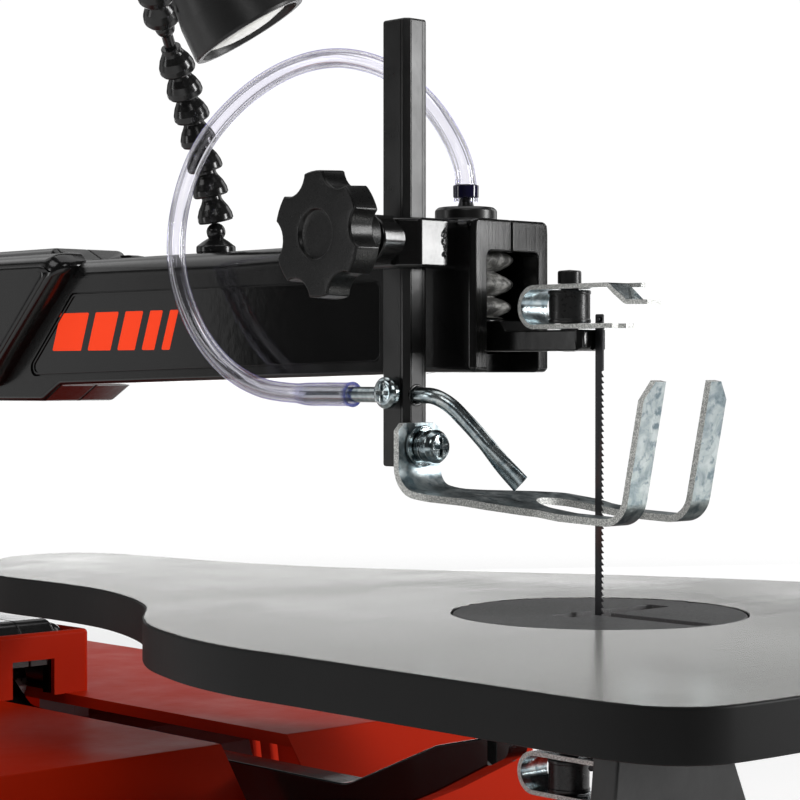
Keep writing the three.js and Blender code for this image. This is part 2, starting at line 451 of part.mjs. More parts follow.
// ------------------------------------------------------- drop foot and post
{
  const c = 1.3;
  const outline = [[POST.x0 + c, POST.y0], [POST.x1 - c, POST.y0], [POST.x1, POST.y0 + c], [POST.x1, POST.y1 - c], [POST.x1 - c, POST.y1], [POST.x0 + c, POST.y1], [POST.x0, POST.y1 - c], [POST.x0, POST.y0 + c]];
  const small = outline.map(([x, y]) => [x + (x < -26.75 ? 0.8 : -0.8), y + (y < 51 ? 0.8 : -0.8)]);
  let post = solid(loftZ([{ at: POST.z0, pts: small }, { at: POST.z0 + 0.8, pts: outline }, { at: POST.z1 - 0.8, pts: outline }, { at: POST.z1, pts: small }]));
  post = cut(post, cylY(3, 40, 60, -27, 60.5, 12), cylX(2.1, -35, -27, 51, 60.5, 12), cylY(2.8, 40, 53.5, -27.5, 46, 10));
  add('foot_post', post, MAT.black());
  add('blower_tube', sweep([[-27, 95, 60.5], [-27, 75, 60.5], [-27, 56, 60.5], [-27, 43.5, 60.5], [-26.6, 38.5, 60.1], [-24.4, 35, 57.9], [-21.6, 31.6, 53.6], [-18.4, 27.3, 47.7], [-15.6, 23.1, 41.5], [-12.6, 18.5, 35.6]], 2.35, 8, 16), MAT.zinc());
  let set = join(turned([[0, 0], [1.8, 0], [1.8, 1.5], [4.1, 1.6], [4.1, 3.4], [3.2, 4.6], [0, 5]], 12));
  set = cut(set, box(-2.6, 2.6, -0.45, 0.45, 3.6, 6), box(-0.45, 0.45, -2.6, 2.6, 3.6, 6));
  const g = geometryOf(set); g.rotateY(-Math.PI / 2);
  add('tube_set_screw', g, MAT.zinc(), [-29.6, 51, 60.5]);
}
{
  // spring-steel fork: vertical tab, wide plate sloping to the front, two prongs turned up
  const profile = band([[44.6, 52.7], [44.6, 33.4, 8], [24, 30.9, 10], [10, 28.3, 20], [0, 27.2, 20], [-23.2, 26.5, 7.5], [-31.1, 64.8]], 2, 6);
  const plan = rounded([[-36, 48], [-36, 33, 6], [-26.5, 19, 4], [-17.2, 8, 6], [-17.2, -36], [17.2, -36], [17.2, 16, 6], [12, 25.5, 6], [4, 30, 8], [-10, 35.2, 6], [-19.7, 41, 2], [-19.7, 48]]);
  const gap = [[-9.4, -40], [9.4, -40]];
  for (let i = 0; i <= 12; i++) { const a = (Math.PI * i) / 12; gap.push([9.4 * Math.cos(a), 7.5 + 9.4 * Math.sin(a)]); }
  let foot = common(extrudeX(profile, -36, 17.2), extrudeZ(plan, 10, 80));
  foot = cut(foot, extrudeZ(gap, 10, 80), cylY(2.8, 40, 50, -27.5, 46, 12));
  for (const [x, s] of [[-17.2, 1], [17.2, -1], [-9.4 - 0, 0]]) if (s) foot = cut(foot, extrudeY([[x - s * 1, 58.5], [x + s * 4.5, 66], [x - s * 1, 67]].sort(() => 0), -40, -22));
  // corners of the tab
  foot = cut(foot, extrudeY([[-37, 49.5], [-33, 53.7], [-37, 54]], 40, 48), extrudeY([[-18.7, 49.5], [-18.7, 54], [-22.7, 53.7]], 40, 48));
  add('hold_down_foot', foot, MAT.zinc());
  const toFront = (prof, n) => { const g = turned(prof, n); g.rotateX(Math.PI / 2); return g; };
  add('foot_flat_washer', toFront([[2.7, 0], [6, 0], [6, 1.1], [2.7, 1.1], [2.7, 0]], 14), MAT.zinc(), [-27.5, 43.3, 46]);
  add('foot_spring_washer', toFront([[2.7, 0], [4.6, 0], [4.6, 2], [2.7, 2], [2.7, 0]], 14), MAT.zinc(), [-27.5, 41.9, 46]);
  let screw = solid(toFront([[0, -12.5], [2.4, -12.5], [2.4, 0], [4.8, 0.1], [4.8, 3], [3.9, 4.3], [0, 4.8]], 14));
  screw = cut(screw, box(-3, 3, -6, -3.6, -0.5, 0.5), box(-0.5, 0.5, -6, -3.6, -3, 3));
  add('foot_screw', screw, MAT.zinc(), [-27.5, 39.5, 46]);
}
{
  // knob: hub, six-lobed disc with a dished centre, and its stud
  let k = join(extrudeZ(lobes(6, 18, 14.6, 48, 0.2), 11, 19.2), cylZ(7.6, 0, 12, 0, 0, 14), cylZ(3, -9.7, 1, 0, 0, 10));
  k = cut(k, cylZ(7, 18.2, 22, 0, 0, 16));
  const g = geometryOf(k); g.rotateY(-Math.PI / 2);
  add('foot_lock_knob', g, MAT.matte(), [-41.4, 51, 105.4]);
}

// ------------------------------------------------------------------ air hose
const HOSE_PATH = [[0, 53, 120.9], [-0.3, 53.4, 127], [-1.4, 57, 136], [-3.6, 66, 148], [-7, 80, 158.5], [-11, 98, 163.5], [-14.5, 118, 161.5], [-18, 138, 152.5], [-21, 153.5, 138.5], [-23.5, 161, 120], [-25.5, 160, 101], [-26.6, 150, 83], [-27, 135, 70], [-27, 117, 62.6], [-27, 95.3, 60.5]];
add('air_hose', sweep(HOSE_PATH, 3, 8, 30), MAT.vinyl());

// --------------------------------------------------------------------- table
{
  const half = [[-100, -134], [-113, -131.5], [-121, -124], [-124, -112], [-124.2, -70], [-124, -15], [-124, 9], [-121, 30], [-116, 47], [-110, 62], [-101.5, 76], [-92, 88], [-85, 97], [-77, 111], [-69, 131], [-64, 150], [-62, 175], [-62, 208], [-58, 224], [-40, 248], [-24, 266], [-14, 272]];
  const other = [[2, 272], [12, 267], [17, 258], [21, 240], [27, 200], [36, 168], [53, 134], [71, 104], [89, 74], [104, 44], [113, 22], [120, 2], [124, -22], [124.2, -70], [124, -112], [121, -124], [113, -131.5], [100, -134]];
  const outline = [...half, ...other].reverse();
  const n = outline.length;
  const inside = outline.map((p, i) => {
    const a = outline[(i + n - 1) % n]; const b = outline[(i + 1) % n];
    const t = new THREE.Vector2(b[0] - a[0], b[1] - a[1]).normalize();
    return [p[0] - t.y * 5.5, p[1] + t.x * 5.5];
  });
  let t = solid(extrudeZ(outline, -TABLE_THICK, 0));
  let pocket = solid(extrudeZ(inside, -TABLE_THICK - 1, -TABLE_SKIN));
  pocket = cut(pocket, cylZ(48, -14, 0, 0, 0, 28), box(-46, 46, -90, -56, -14, 0),
    box(-130, 130, -2.5, 2.5, -14, 0), box(-2.5, 2.5, -140, 280, -14, 0), box(-80, 80, 96, 100, -14, 0), box(-70, 70, 160, 164, -14, 0), box(-72.5, -68, -140, 130, -14, 0), box(68, 72.5, -140, 130, -14, 0));
  t = t.subtract(pocket);
  t = cut(t, cylZ(INSERT_R + 0.3, -3.3, 1, 0, 0, 36), cylZ(36, -20, 1, 0, 0, 32));
  add('table', t, MAT.table());
  let ins = solid(turned([[0, -3], [40.6, -3], [INSERT_R, -2.6], [INSERT_R, -0.4], [40.7, -0.1], [0, -0.1]], 36));
  ins = cut(ins, extrudeZ(rect(-15, 25, -2.6, 3.4, 1.4, 3), -5, 1), box(-1.7, 1.7, -45, 0, -5, 1), extrudeZ(rect(-1.7, 1.7, -45, -1, 0), -5, 1));
  for (const a of [0, Math.PI]) ins = cut(ins, cylZ(2.2, -5, 1, 41.4 * Math.cos(a), 41.4 * Math.sin(a), 12));
  add('table_insert', ins, MAT.insert());
  // half-disc trunnion under the table, with its curved clamping slot
  const disc = []; for (let i = 0; i <= 24; i++) { const a = Math.PI + (Math.PI * i) / 24; disc.push([86 * Math.cos(a), Math.max(-86, 86 * Math.sin(a))]); }
  const half2 = disc.filter(([x, z]) => z <= -30);
  const plate = [...half2, [78, -20], [52, -12.3], [-52, -12.3], [-78, -20]];
  let tr = solid(extrudeY(area(plate) < 0 ? plate.reverse() : plate, -76, -68));
  const slot = []; const a0 = -Math.PI / 2 - 0.87; const a1 = -Math.PI / 2 + 0.08;
  for (let i = 0; i <= 14; i++) { const a = a0 + ((a1 - a0) * i) / 14; slot.push([70.5 * Math.cos(a), 70.5 * Math.sin(a)]); }
  for (let i = 14; i >= 0; i--) { const a = a0 + ((a1 - a0) * i) / 14; slot.push([59.5 * Math.cos(a), 59.5 * Math.sin(a)]); }
  tr = cut(tr, extrudeY(area(slot) < 0 ? slot.reverse() : slot, -80, -60), extrudeY(rounded([[-38, -22, 4], [38, -22, 4], [26, -48, 6], [-26, -48, 6]].reverse()), -80, -60));
  tr = tr.add(solid(box(-44, 44, -86, -60, -16.8, -12.3)));
  add('table_trunnion', tr, paint(0x2b2b2d, 0.5, 0.4));
}
{
  let br = join(extrudeY([[-26, DECK_TOP + GAP], [26, DECK_TOP + GAP], [22, -50], [-22, -50]], -64, -54), box(-34, 34, -64, -38, DECK_TOP + GAP, -98));
  br = cut(br, cylY(4.2, -70, -50, 0, -65, 10));
  add('trunnion_bracket', br, paint(0x2b2b2d, 0.5, 0.4));
  let k = join(extrudeZ(lobes(5, 17.5, 14.2, 40), 4, 16), cylZ(8.5, 0, 5, 0, 0, 14), cylZ(3.2, -28, 1, 0, 0, 10));
  const g = geometryOf(k); g.rotateX(Math.PI / 2);
  add('table_lock_knob', g, MAT.matte(), [0, -77, -65]);
}

// -------------------------------------------------- control panel and ports
{
  const front = new THREE.Group();
  front.position.set(36, -108.75, -123.5);
  front.rotation.x = -Math.atan2(6, 88);
  group.add(front);
  let panel = solid(extrudeY(rect(-56, 56, -15, 15, 4), -6.5, -0.35));
  panel = cut(panel, box(-38.4, -13.6, -9, 1, -9.2, 9.2), cylY(4.2, -9, 0, 24, 0, 12));
  add('control_panel', panel, MAT.matte(), null, null, front);
  let rocker = solid(extrudeX(rounded([[-9.2, 7], [-10.6, 5], [-9.4, 0], [-7.4, -7], [-3.4, -5.5, 1], [-3.4, 5.5, 1]]), -11.2, 11.2));
  add('switch_rocker', rocker, paint(0x8c1210, 0.35, 0), [-26, 0, 0], null, front);
  let dial = join(extrudeZ(lobes(12, 12.2, 11.6, 36), 0, 10), cylZ(3.6, -4.5, 1, 0, 0, 10));
  dial = cut(dial, box(-0.8, 0.8, 4, 14, 9, 12));
  const g = geometryOf(dial); g.rotateX(Math.PI / 2);
  add('speed_dial', g, MAT.matte(), [24, -7, 0], null, front);
  const rear = new THREE.Group();
  rear.position.set(-62, 494.9, -98);
  rear.rotation.x = Math.atan2(6, 88);
  group.add(rear);
  const port = turned([[16, 0.5], [27, 0.5], [27, 3.5], [19, 3.5], [19, 30], [16, 30], [16, 0.5]], 24);
  port.rotateX(-Math.PI / 2);
  add('dust_port', port, MAT.matte(), [0, 0, 0], null, rear);
  const gland = turned([[3.6, 0.5], [11, 0.5], [11, 4], [8, 5], [6.4, 18], [3.6, 18], [3.6, 0.5]], 14);
  gland.rotateX(-Math.PI / 2);
  add('cord_gland', gland, MAT.matte(), [134, 0, -14], null, rear);
}

// ---------------------------------------------------------------- work lamp
const LAMP_Y = 172;
add('lamp_collar', join(turned([[0, 0.3], [6.6, 0.3], [6.6, 2.6], [4.2, 4.4], [2.6, 5.4], [0, 5.4]], 12), (() => { const s = new THREE.SphereGeometry(3.2, 10, 6); s.translate(0, 0, 7.4); return s; })()), MAT.matte(), [0, LAMP_Y, ARM_TOP]);
function neck(from, to, points, ball) {
  // chain of bell-shaped links along the path; the last one ends in a ball
  const curve = new THREE.CatmullRomCurve3(points.map((p) => new THREE.Vector3(...p)), false, 'centripetal');
  const length = curve.getLength(); const count = Math.round(length / 9.3); const pitch = length / count;
  let body = null;
  for (let i = 0; i < count; i++) {
    const u = i / count; const p = curve.getPointAt(u); const q = curve.getPointAt(Math.min(1, (i + 1) / count)); const dir = q.clone().sub(p).normalize();
    const g = turned([[0, 0], [6, 0.6], [5.2, 4.2], [3.4, 7], [3.3, pitch + (i === count - 1 ? 0 : 1)], [0, pitch + (i === count - 1 ? 0 : 1)]], 8);
    g.applyQuaternion(new THREE.Quaternion().setFromUnitVectors(new THREE.Vector3(0, 0, 1), dir));
    g.translate(p.x, p.y, p.z);
    body = body ? body.add(solid(g)) : solid(g);
  }
  if (ball) { const s = new THREE.SphereGeometry(3.2, 10, 6); s.translate(...ball); body = body.add(solid(s)); const e = points[points.length - 1]; body = body.add(solid(sweep([e, ball], 1.8, 6, 1))); }
  return body;
}
const NECK_1 = [[0, 172, 117.6], [-2.2, 172, 126.5], [-5, 171.8, 136], [-9.2, 171, 147], [-16, 168.5, 160], [-25, 164, 172.5]];
const NECK_2 = [[-32.2, 158.8, 180.4], [-45, 148, 192.5], [-60, 131, 201.5], [-73, 111, 204.5], [-83, 91, 201], [-89, 75, 193]];
const BALL_1 = [-29.6, 160.9, 177.8];
const BALL_2 = [-90.4, 70.7, 189.6];
add('lamp_neck_lower', neck(null, null, NECK_1, BALL_1), MAT.matte());
add('lamp_neck_upper', neck(null, null, NECK_2, BALL_2), MAT.matte());
{
  const aim = new THREE.Vector3(90.4, -70.7, -189.6).normalize();
  const head = turned([[0, 3.6], [7, 3.6], [8, 5], [12, 10], [16, 24], [17, 34], [14.6, 34], [13.4, 26], [0, 26]], 16);
  const lens = turned([[0, 26.4], [13, 26.4], [14.2, 31.6], [10, 33.2], [0, 34]], 16);
  const q = new THREE.Quaternion().setFromUnitVectors(new THREE.Vector3(0, 0, 1), aim);
  const hm = add('lamp_head', head, MAT.matte(), BALL_2); hm.quaternion.copy(q);
  const lm = add('lamp_lens', lens, MAT.lens(), BALL_2); lm.quaternion.copy(q);
}

export default group;
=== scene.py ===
# Benchtop scroll saw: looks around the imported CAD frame.
# All shapes are written in millimetres in the working frame (blade at x = 0, y = 0, table top at z = 0)
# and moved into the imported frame, in metres, when a piece is made.
import math

import bmesh
import bpy
import numpy as np
from mathutils import Matrix, Quaternion, Vector, noise


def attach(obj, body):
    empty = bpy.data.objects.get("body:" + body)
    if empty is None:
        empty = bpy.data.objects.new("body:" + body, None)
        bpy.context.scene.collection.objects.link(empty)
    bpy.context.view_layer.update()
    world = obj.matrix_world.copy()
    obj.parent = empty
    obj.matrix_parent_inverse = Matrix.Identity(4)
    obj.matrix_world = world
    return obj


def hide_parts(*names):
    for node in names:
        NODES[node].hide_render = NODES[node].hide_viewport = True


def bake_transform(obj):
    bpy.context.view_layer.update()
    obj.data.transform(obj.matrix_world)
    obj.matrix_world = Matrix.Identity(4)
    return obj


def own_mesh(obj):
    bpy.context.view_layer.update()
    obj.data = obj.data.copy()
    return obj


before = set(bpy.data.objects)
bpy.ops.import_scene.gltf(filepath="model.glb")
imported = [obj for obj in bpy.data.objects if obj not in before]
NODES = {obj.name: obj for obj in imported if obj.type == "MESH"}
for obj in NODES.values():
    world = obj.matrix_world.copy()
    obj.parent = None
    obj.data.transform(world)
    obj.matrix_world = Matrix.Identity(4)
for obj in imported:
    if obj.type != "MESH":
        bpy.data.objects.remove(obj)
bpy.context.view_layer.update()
scene = bpy.context.scene
PI = math.pi
DY, DZ = -196.06, 152.0


def P(p):
    """working frame, millimetres -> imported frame, metres"""
    return Vector((p[0] * 0.001, (p[1] + DY) * 0.001, (p[2] + DZ) * 0.001))


# ------------------------------------------------------------------ geometry
class G:
    """vertices, faces and a material number for each face"""

    def __init__(s, v=None, f=None, m=0):
        s.v = [Vector(p) for p in (v or [])]
        s.f = [list(q) for q in (f or [])]
        s.m = m if isinstance(m, list) else [m] * len(s.f)

    def add(s, *others):
        for o in others:
            n = len(s.v)
            s.v += [p.copy() for p in o.v]
            s.f += [[i + n for i in q] for q in o.f]
            s.m += list(o.m)
        return s

    def tf(s, M):
        s.v = [M @ p for p in s.v]
        if M.determinant() < 0:
            s.f = [q[::-1] for q in s.f]
        return s

    def move(s, x, y, z):
        return s.tf(Matrix.Translation((x, y, z)))

    def mat(s, k):
        s.m = [k] * len(s.f)
        return s

    def copy(s):
        g = G()
        return g.add(s)


def mesh_of(g, name="tmp", slots=8, tidy=True):
    me = bpy.data.meshes.new(name)
    me.from_pydata([tuple(p) for p in g.v], [], g.f)
    for _ in range(slots):
        me.materials.append(None)
    me.polygons.foreach_set("material_index", g.m)
    if tidy:
        bm = bmesh.new()
        bm.from_mesh(me)
        bmesh.ops.remove_doubles(bm, verts=bm.verts, dist=1e-4)
        bmesh.ops.recalc_face_normals(bm, faces=bm.faces)
        bm.to_mesh(me)
        bm.free()
    me.update()
    return me


def g_of(me):
    return G([v.co.copy() for v in me.vertices], [list(p.vertices) for p in me.polygons], [p.material_index for p in me.polygons])


def run_mods(g, setup):
    """the mesh g after the modifiers that setup(object) adds"""
    ob = bpy.data.objects.new("tmp", mesh_of(g))
    scene.collection.objects.link(ob)
    extra = setup(ob) or []
    dg = bpy.context.evaluated_depsgraph_get()
    dg.update()
    ev = ob.evaluated_get(dg)
    me = ev.to_mesh()
    out = g_of(me)
    ev.to_mesh_clear()
    for o in [ob] + extra:
        me = o.data
        bpy.data.objects.remove(o)
        bpy.data.meshes.remove(me)
    return out


def boolean(g, op, tools):
    def setup(ob):
        extra = []
        for t in tools:
            tb = bpy.data.objects.new("tool", mesh_of(t))
            scene.collection.objects.link(tb)
            extra.append(tb)
            md = ob.modifiers.new("b", "BOOLEAN")
            md.operation = op
            md.object = tb
            md.solver = "EXACT"
        return extra

    return run_mods(g, setup)


def cut(g, *tools):
    return boolean(g, "DIFFERENCE", tools)


def volume(g):
    bm = bmesh.new()
    me = mesh_of(g)
    bm.from_mesh(me)
    vol = bm.calc_volume()
    bm.free()
    bpy.data.meshes.remove(me)
    return vol


def cut_each(g, *tools):
    """one cut after another; a cut that goes wrong is made again with its tool a hair to the side"""
    now = volume(g)
    for t in tools:
        for k in range(5):
            d = 0.013 * k
            out = cut(g, t.copy().move(d, -0.7 * d, 0.4 * d) if k else t)
            left = volume(out) if out.f else 0.0
            if now * 0.1 < left <= now * 1.0001:
                g, now = out, left
                break
    return g


def join(g, *tools):
    return boolean(g, "UNION", tools)


def common(g, *tools):
    return boolean(g, "INTERSECT", tools)


def bevel(g, width, seg=2, angle=32, clamp=True):
    def setup(ob):
        md = ob.modifiers.new("v", "BEVEL")
        md.width = width
        md.segments = seg
        md.limit_method = "ANGLE"
        md.angle_limit = math.radians(angle)
        md.use_clamp_overlap = clamp
        md.miter_outer = "MITER_ARC"
        md.material = -1

    return run_mods(g, setup)


def area2(pts):
    return 0.5 * sum(pts[i][0] * pts[(i + 1) % len(pts)][1] - pts[(i + 1) % len(pts)][0] * pts[i][1] for i in range(len(pts)))


def rounded(pts, seg=5, default=0.0, tags=None):
    out = []
    n = len(pts)
    for i in range(n):
        p = Vector(pts[i][:2])
        r = pts[i][2] if len(pts[i]) > 2 else default
        t = pts[i][3] if len(pts[i]) > 3 else None
        if not r:
            out.append((p.x, p.y))
            if tags is not None:
                tags.append(t)
            continue
        a = (Vector(pts[i - 1][:2]) - p).normalized()
        b = (Vector(pts[(i + 1) % n][:2]) - p).normalized()
        half = math.acos(max(-1, min(1, a.dot(b)))) / 2
        d = r / math.tan(half)
        c = (a + b).normalized() * (r / math.sin(half)) + p
        s = p + a * d - c
        e = p + b * d - c
        a0 = math.atan2(s.y, s.x)
        da = math.atan2(e.y, e.x) - a0
        while da > PI:
            da -= 2 * PI
        while da < -PI:
            da += 2 * PI
        k = max(1, int(math.ceil(abs(da) / (PI / 2) * seg)))
        for j in range(k + 1):
            q = a0 + da * j / k
            out.append((c.x + r * math.cos(q), c.y + r * math.sin(q)))
            if tags is not None:
                tags.append(t)
    return out


def rect(x0, x1, y0, y1, r=0.0, seg=6):
    return rounded([(x0, y0, r), (x1, y0, r), (x1, y1, r), (x0, y1, r)], seg)


def densify(pts, step):
    out = []
    n = len(pts)
    for i in range(n):
        a, b = Vector(pts[i]), Vector(pts[(i + 1) % n])
        k = max(1, int(round((b - a).length / step)))
        for j in range(k):
            out.append(tuple(a.lerp(b, j / k)))
    return out


def inset(pts, d):
    """every point moved inwards by d (a number or one number for each point)"""
    n = len(pts)
    s = 1 if area2(pts) > 0 else -1
    out = []
    for i in range(n):
        di = d[i] if isinstance(d, (list, tuple)) else d
        a, p, b = Vector(pts[i - 1]), Vector(pts[i]), Vector(pts[(i + 1) % n])
        e0, e1 = (p - a), (b - p)
        if e0.length < 1e-9 or e1.length < 1e-9:
            out.append(tuple(p))
            continue
        e0.normalize()
        e1.normalize()
        t = e0 + e1
        t = t.normalized() if t.length > 1e-6 else e1
        k = di / max(0.55, t.dot(e1))
        out.append((p.x - s * t.y * k, p.y + s * t.x * k))
    return out


PLACE = {
    "x": lambda p, t: Vector((t, p[0], p[1])),
    "y": lambda p, t: Vector((p[0], t, p[1])),
    "z": lambda p, t: Vector((p[0], p[1], t)),
}


def rings_solid(rings, m=0, cap=True, closed=True):
    """rings: lists of 3D points, all the same length, joined into a tube with capped ends"""
    n = len(rings[0])
    v = [p for r in rings for p in r]
    f = []
    for k in range(len(rings) - 1):
        for i in range(n):
            j = (i + 1) % n
            f.append([k * n + i, k * n + j, (k + 1) * n + j, (k + 1) * n + i])
    if cap:
        f.append(list(range(n))[::-1])
        f.append([(len(rings) - 1) * n + i for i in range(n)])
    return G(v, f, m)


def stack(pts, axis, a, b, ra=0.0, rb=0.0, seg=4, over=0.0, m=0):
    """outline pushed along an axis from a to b, the edges at each end rounded by ra and rb (a number or
    a list for each point). A negative radius flares outwards, for cutting a mouth with a rounded rim."""
    if area2(pts) < 0:
        pts = pts[::-1]
        ra = ra[::-1] if isinstance(ra, list) else ra
        rb = rb[::-1] if isinstance(rb, list) else rb
    place = PLACE[axis]
    n = len(pts)
    ra = ra if isinstance(ra, list) else [ra] * n
    rb = rb if isinstance(rb, list) else [rb] * n
    sg = 1 if b > a else -1
    rings = []

    def end(base, rr, direction):
        res = []
        if max(abs(x) for x in rr) < 1e-6:
            return [[(pts[i], base) for i in range(n)]]
        for k in range(seg + 1):
            q = PI / 2 * k / seg
            off = inset(pts, [x * (1 - math.sin(q)) for x in rr])
            res.append([(off[i], base + direction * abs(rr[i]) * (1 - math.cos(q))) for i in range(n)])
        return res

    first = end(a, ra, sg)
    last = end(b, rb, -sg)[::-1]
    if over:
        first = [[(p, a - sg * over) for p, t in first[0]]] + first
        last = last + [[(p, b + sg * over) for p, t in last[-1]]]
    rings = [[place(p, t) for p, t in r] for r in first + last]
    return rings_solid(rings, m)


def box(x0, x1, y0, y1, z0, z1, m=0):
    return stack([(x0, y0), (x1, y0), (x1, y1), (x0, y1)], "z", z0, z1, m=m)


def circle(r, n=32, cx=0.0, cy=0.0, ph=0.0):
    return [(cx + r * math.cos(2 * PI * i / n + ph), cy + r * math.sin(2 * PI * i / n + ph)) for i in range(n)]


def lathe(profile, n=40, m=0):
    """closed solid turned about +Z from [radius, height] points; either ends on the axis or closes on itself"""
    prof = [(max(0.0, r), z) for r, z in profile]
    loop = abs(prof[0][0] - prof[-1][0]) < 1e-9 and abs(prof[0][1] - prof[-1][1]) < 1e-9 and len(prof) > 3
    if loop:
        prof = prof[:-1]
    v, idx = [], []
    for r, z in prof:
        if r < 1e-6:
            idx.append([len(v)] * n)
            v.append(Vector((0, 0, z)))
        else:
            idx.append([len(v) + i for i in range(n)])
            v += [Vector((r * math.cos(2 * PI * i / n), r * math.sin(2 * PI * i / n), z)) for i in range(n)]
    f = []
    k = len(prof)
    for a in range(k if loop else k - 1):
        b = (a + 1) % k
        for i in range(n):
            j = (i + 1) % n
            q = [idx[a][i], idx[a][j], idx[b][j], idx[b][i]]
            q = [x for t, x in enumerate(q) if x != q[t - 1]]
            if len(q) > 2:
                f.append(q)
    return G(v, f, m)


def soft(profile, r=0.4, seg=3):
    """rounds the corners of an open lathe profile"""
    out = [profile[0][:2]]
    for i in range(1, len(profile) - 1):
        p = Vector(profile[i][:2])
        rr = profile[i][2] if len(profile[i]) > 2 else r
        a, b = Vector(profile[i - 1][:2]) - p, Vector(profile[i + 1][:2]) - p
        if rr < 1e-6 or a.length < 1e-6 or b.length < 1e-6:
            out.append(tuple(p))
            continue
        la, lb = a.length, b.length
        a.normalize()
        b.normalize()
        half = math.acos(max(-1, min(1, a.dot(b)))) / 2
        if half > PI / 2 - 0.03 or half < 0.05:
            out.append(tuple(p))
            continue
        d = min(rr / math.tan(half), la * 0.48, lb * 0.48)
        rr = d * math.tan(half)
        c = (a + b).normalized() * (rr / math.sin(half)) + p
        s, e = p + a * d - c, p + b * d - c
        a0 = math.atan2(s.y, s.x)
        da = math.atan2(e.y, e.x) - a0
        while da > PI:
            da -= 2 * PI
        while da < -PI:
            da += 2 * PI
        for j in range(seg + 1):
            q = a0 + da * j / seg
            out.append((c.x + rr * math.cos(q), c.y + rr * math.sin(q)))
    out.append(profile[-1][:2])
    return out


def along(g, axis):
    """turns a solid made about +Z so that it points along the axis given"""
    q = Vector((0, 0, 1)).rotation_difference(Vector(axis).normalized())
    return g.tf(q.to_matrix().to_4x4())


def catmull(points, n):
    """centripetal Catmull-Rom line through the points, n evenly spaced points"""
    p = [Vector(q) for q in points]
    p = [p[0] * 2 - p[1]] + p + [p[-1] * 2 - p[-2]]
    out = []
    for i in range(1, len(p) - 2):
        p0, p1, p2, p3 = p[i - 1 : i + 3]
        t0 = 0.0
        t1 = t0 + max(1e-4, (p1 - p0).length) ** 0.5
        t2 = t1 + max(1e-4, (p2 - p1).length) ** 0.5
        t3 = t2 + max(1e-4, (p3 - p2).length) ** 0.5
        for k in range(24):
            t = t1 + (t2 - t1) * k / 24
            a1 = p0 * ((t1 - t) / (t1 - t0)) + p1 * ((t - t0) / (t1 - t0))
            a2 = p1 * ((t2 - t) / (t2 - t1)) + p2 * ((t - t1) / (t2 - t1))
            a3 = p2 * ((t3 - t) / (t3 - t2)) + p3 * ((t - t2) / (t3 - t2))
            b1 = a1 * ((t2 - t) / (t2 - t0)) + a2 * ((t - t0) / (t2 - t0))
            b2 = a2 * ((t3 - t) / (t3 - t1)) + a3 * ((t - t1) / (t3 - t1))
            out.append(b1 * ((t2 - t) / (t2 - t1)) + b2 * ((t - t1) / (t2 - t1)))
    out.append(p[-2])
    s = [0.0]
    for i in range(1, len(out)):
        s.append(s[-1] + (out[i] - out[i - 1]).length)
    res = []
    j = 0
    for k in range(n):
        d = s[-1] * k / (n - 1)
        while j < len(s) - 2 and s[j + 1] < d:
            j += 1
        u = (d - s[j]) / max(1e-9, s[j + 1] - s[j])
        res.append(out[j].lerp(out[j + 1], min(1, max(0, u))))
    return res


def length_of(pts):
    return sum((Vector(pts[i]) - Vector(pts[i - 1])).length for i in range(1, len(pts)))


def frames(pts, up=(0, 0, 1)):
    """tangent, normal and side of every point, turning as little as possible"""
    t = [(pts[min(i + 1, len(pts) - 1)] - pts[max(0, i - 1)]).normalized() for i in range(len(pts))]
    n = Vector(up) - t[0] * Vector(up).dot(t[0])
    if n.length < 1e-3:
        n = Vector((1, 0, 0)) - t[0] * t[0].x
    n.normalize()
    out = []
    for i in range(len(pts)):
        if i:
            n = t[i - 1].rotation_difference(t[i]) @ n
            n = (n - t[i] * n.dot(t[i])).normalized()
        out.append((t[i], n.copy(), t[i].cross(n)))
    return out


def tube(pts, section, m=0, up=(0, 0, 1)):
    """section(i, u) gives the ring of (a, b) points at point i"""
    fr = frames(pts, up)
    rings = []
    for i, p in enumerate(pts):
        t, n, s = fr[i]
        rings.append([p + n * a + s * b for a, b in section(i, i / (len(pts) - 1))])
    return rings_solid(rings, m)


def band(path, thick, seg=8):
    """open centre line with rounded corners -> closed outline of a strip"""
    line = []
    for i, q in enumerate(path):
        r = q[2] if len(q) > 2 else 0
        if not r or i in (0, len(path) - 1):
            line.append(Vector(q[:2]))
            continue
        tri = rounded([path[i - 1][:2], q, path[i + 1][:2]], seg)
        line += [Vector(c) for c in tri[1:-1]]
    left, right = [], []
    for i, p in enumerate(line):
        a, b = line[max(0, i - 1)], line[min(len(line) - 1, i + 1)]
        t0, t1 = p - a, b - p
        m = Vector((0, 0))
        if t0.length > 0:
            m += t0.normalized()
        if t1.length > 0:
            m += t1.normalized()
        m.normalize()
        ref = t1.normalized() if t1.length > 0 else t0.normalized()
        k = thick / 2 / max(0.5, m.dot(ref))
        left.append((p.x - m.y * k, p.y + m.x * k))
        right.append((p.x + m.y * k, p.y - m.x * k))
    pts = left + right[::-1]
    return pts if area2(pts) > 0 else pts[::-1]


def cross_cutter(depth=1.6, arm=2.3, width=0.62):
    """the star-shaped pocket of a cross-head screw, pointing down from z = 0"""
    def star(a, w):
        return [(a, -w), (a, w), (w, w), (w, a), (-w, a), (-w, w), (-a, w), (-a, -w), (-w, -w), (-w, -a), (w, -a), (w, -w)]

    rings = []
    for t, k in ((0.8, 1.12), (0.0, 1.0), (-depth, 0.45)):
        rings.append([Vector((x, y, t)) for x, y in star(arm * k, width * (1 if k > 0.9 else 0.7))])
    return rings_solid(rings, 0)


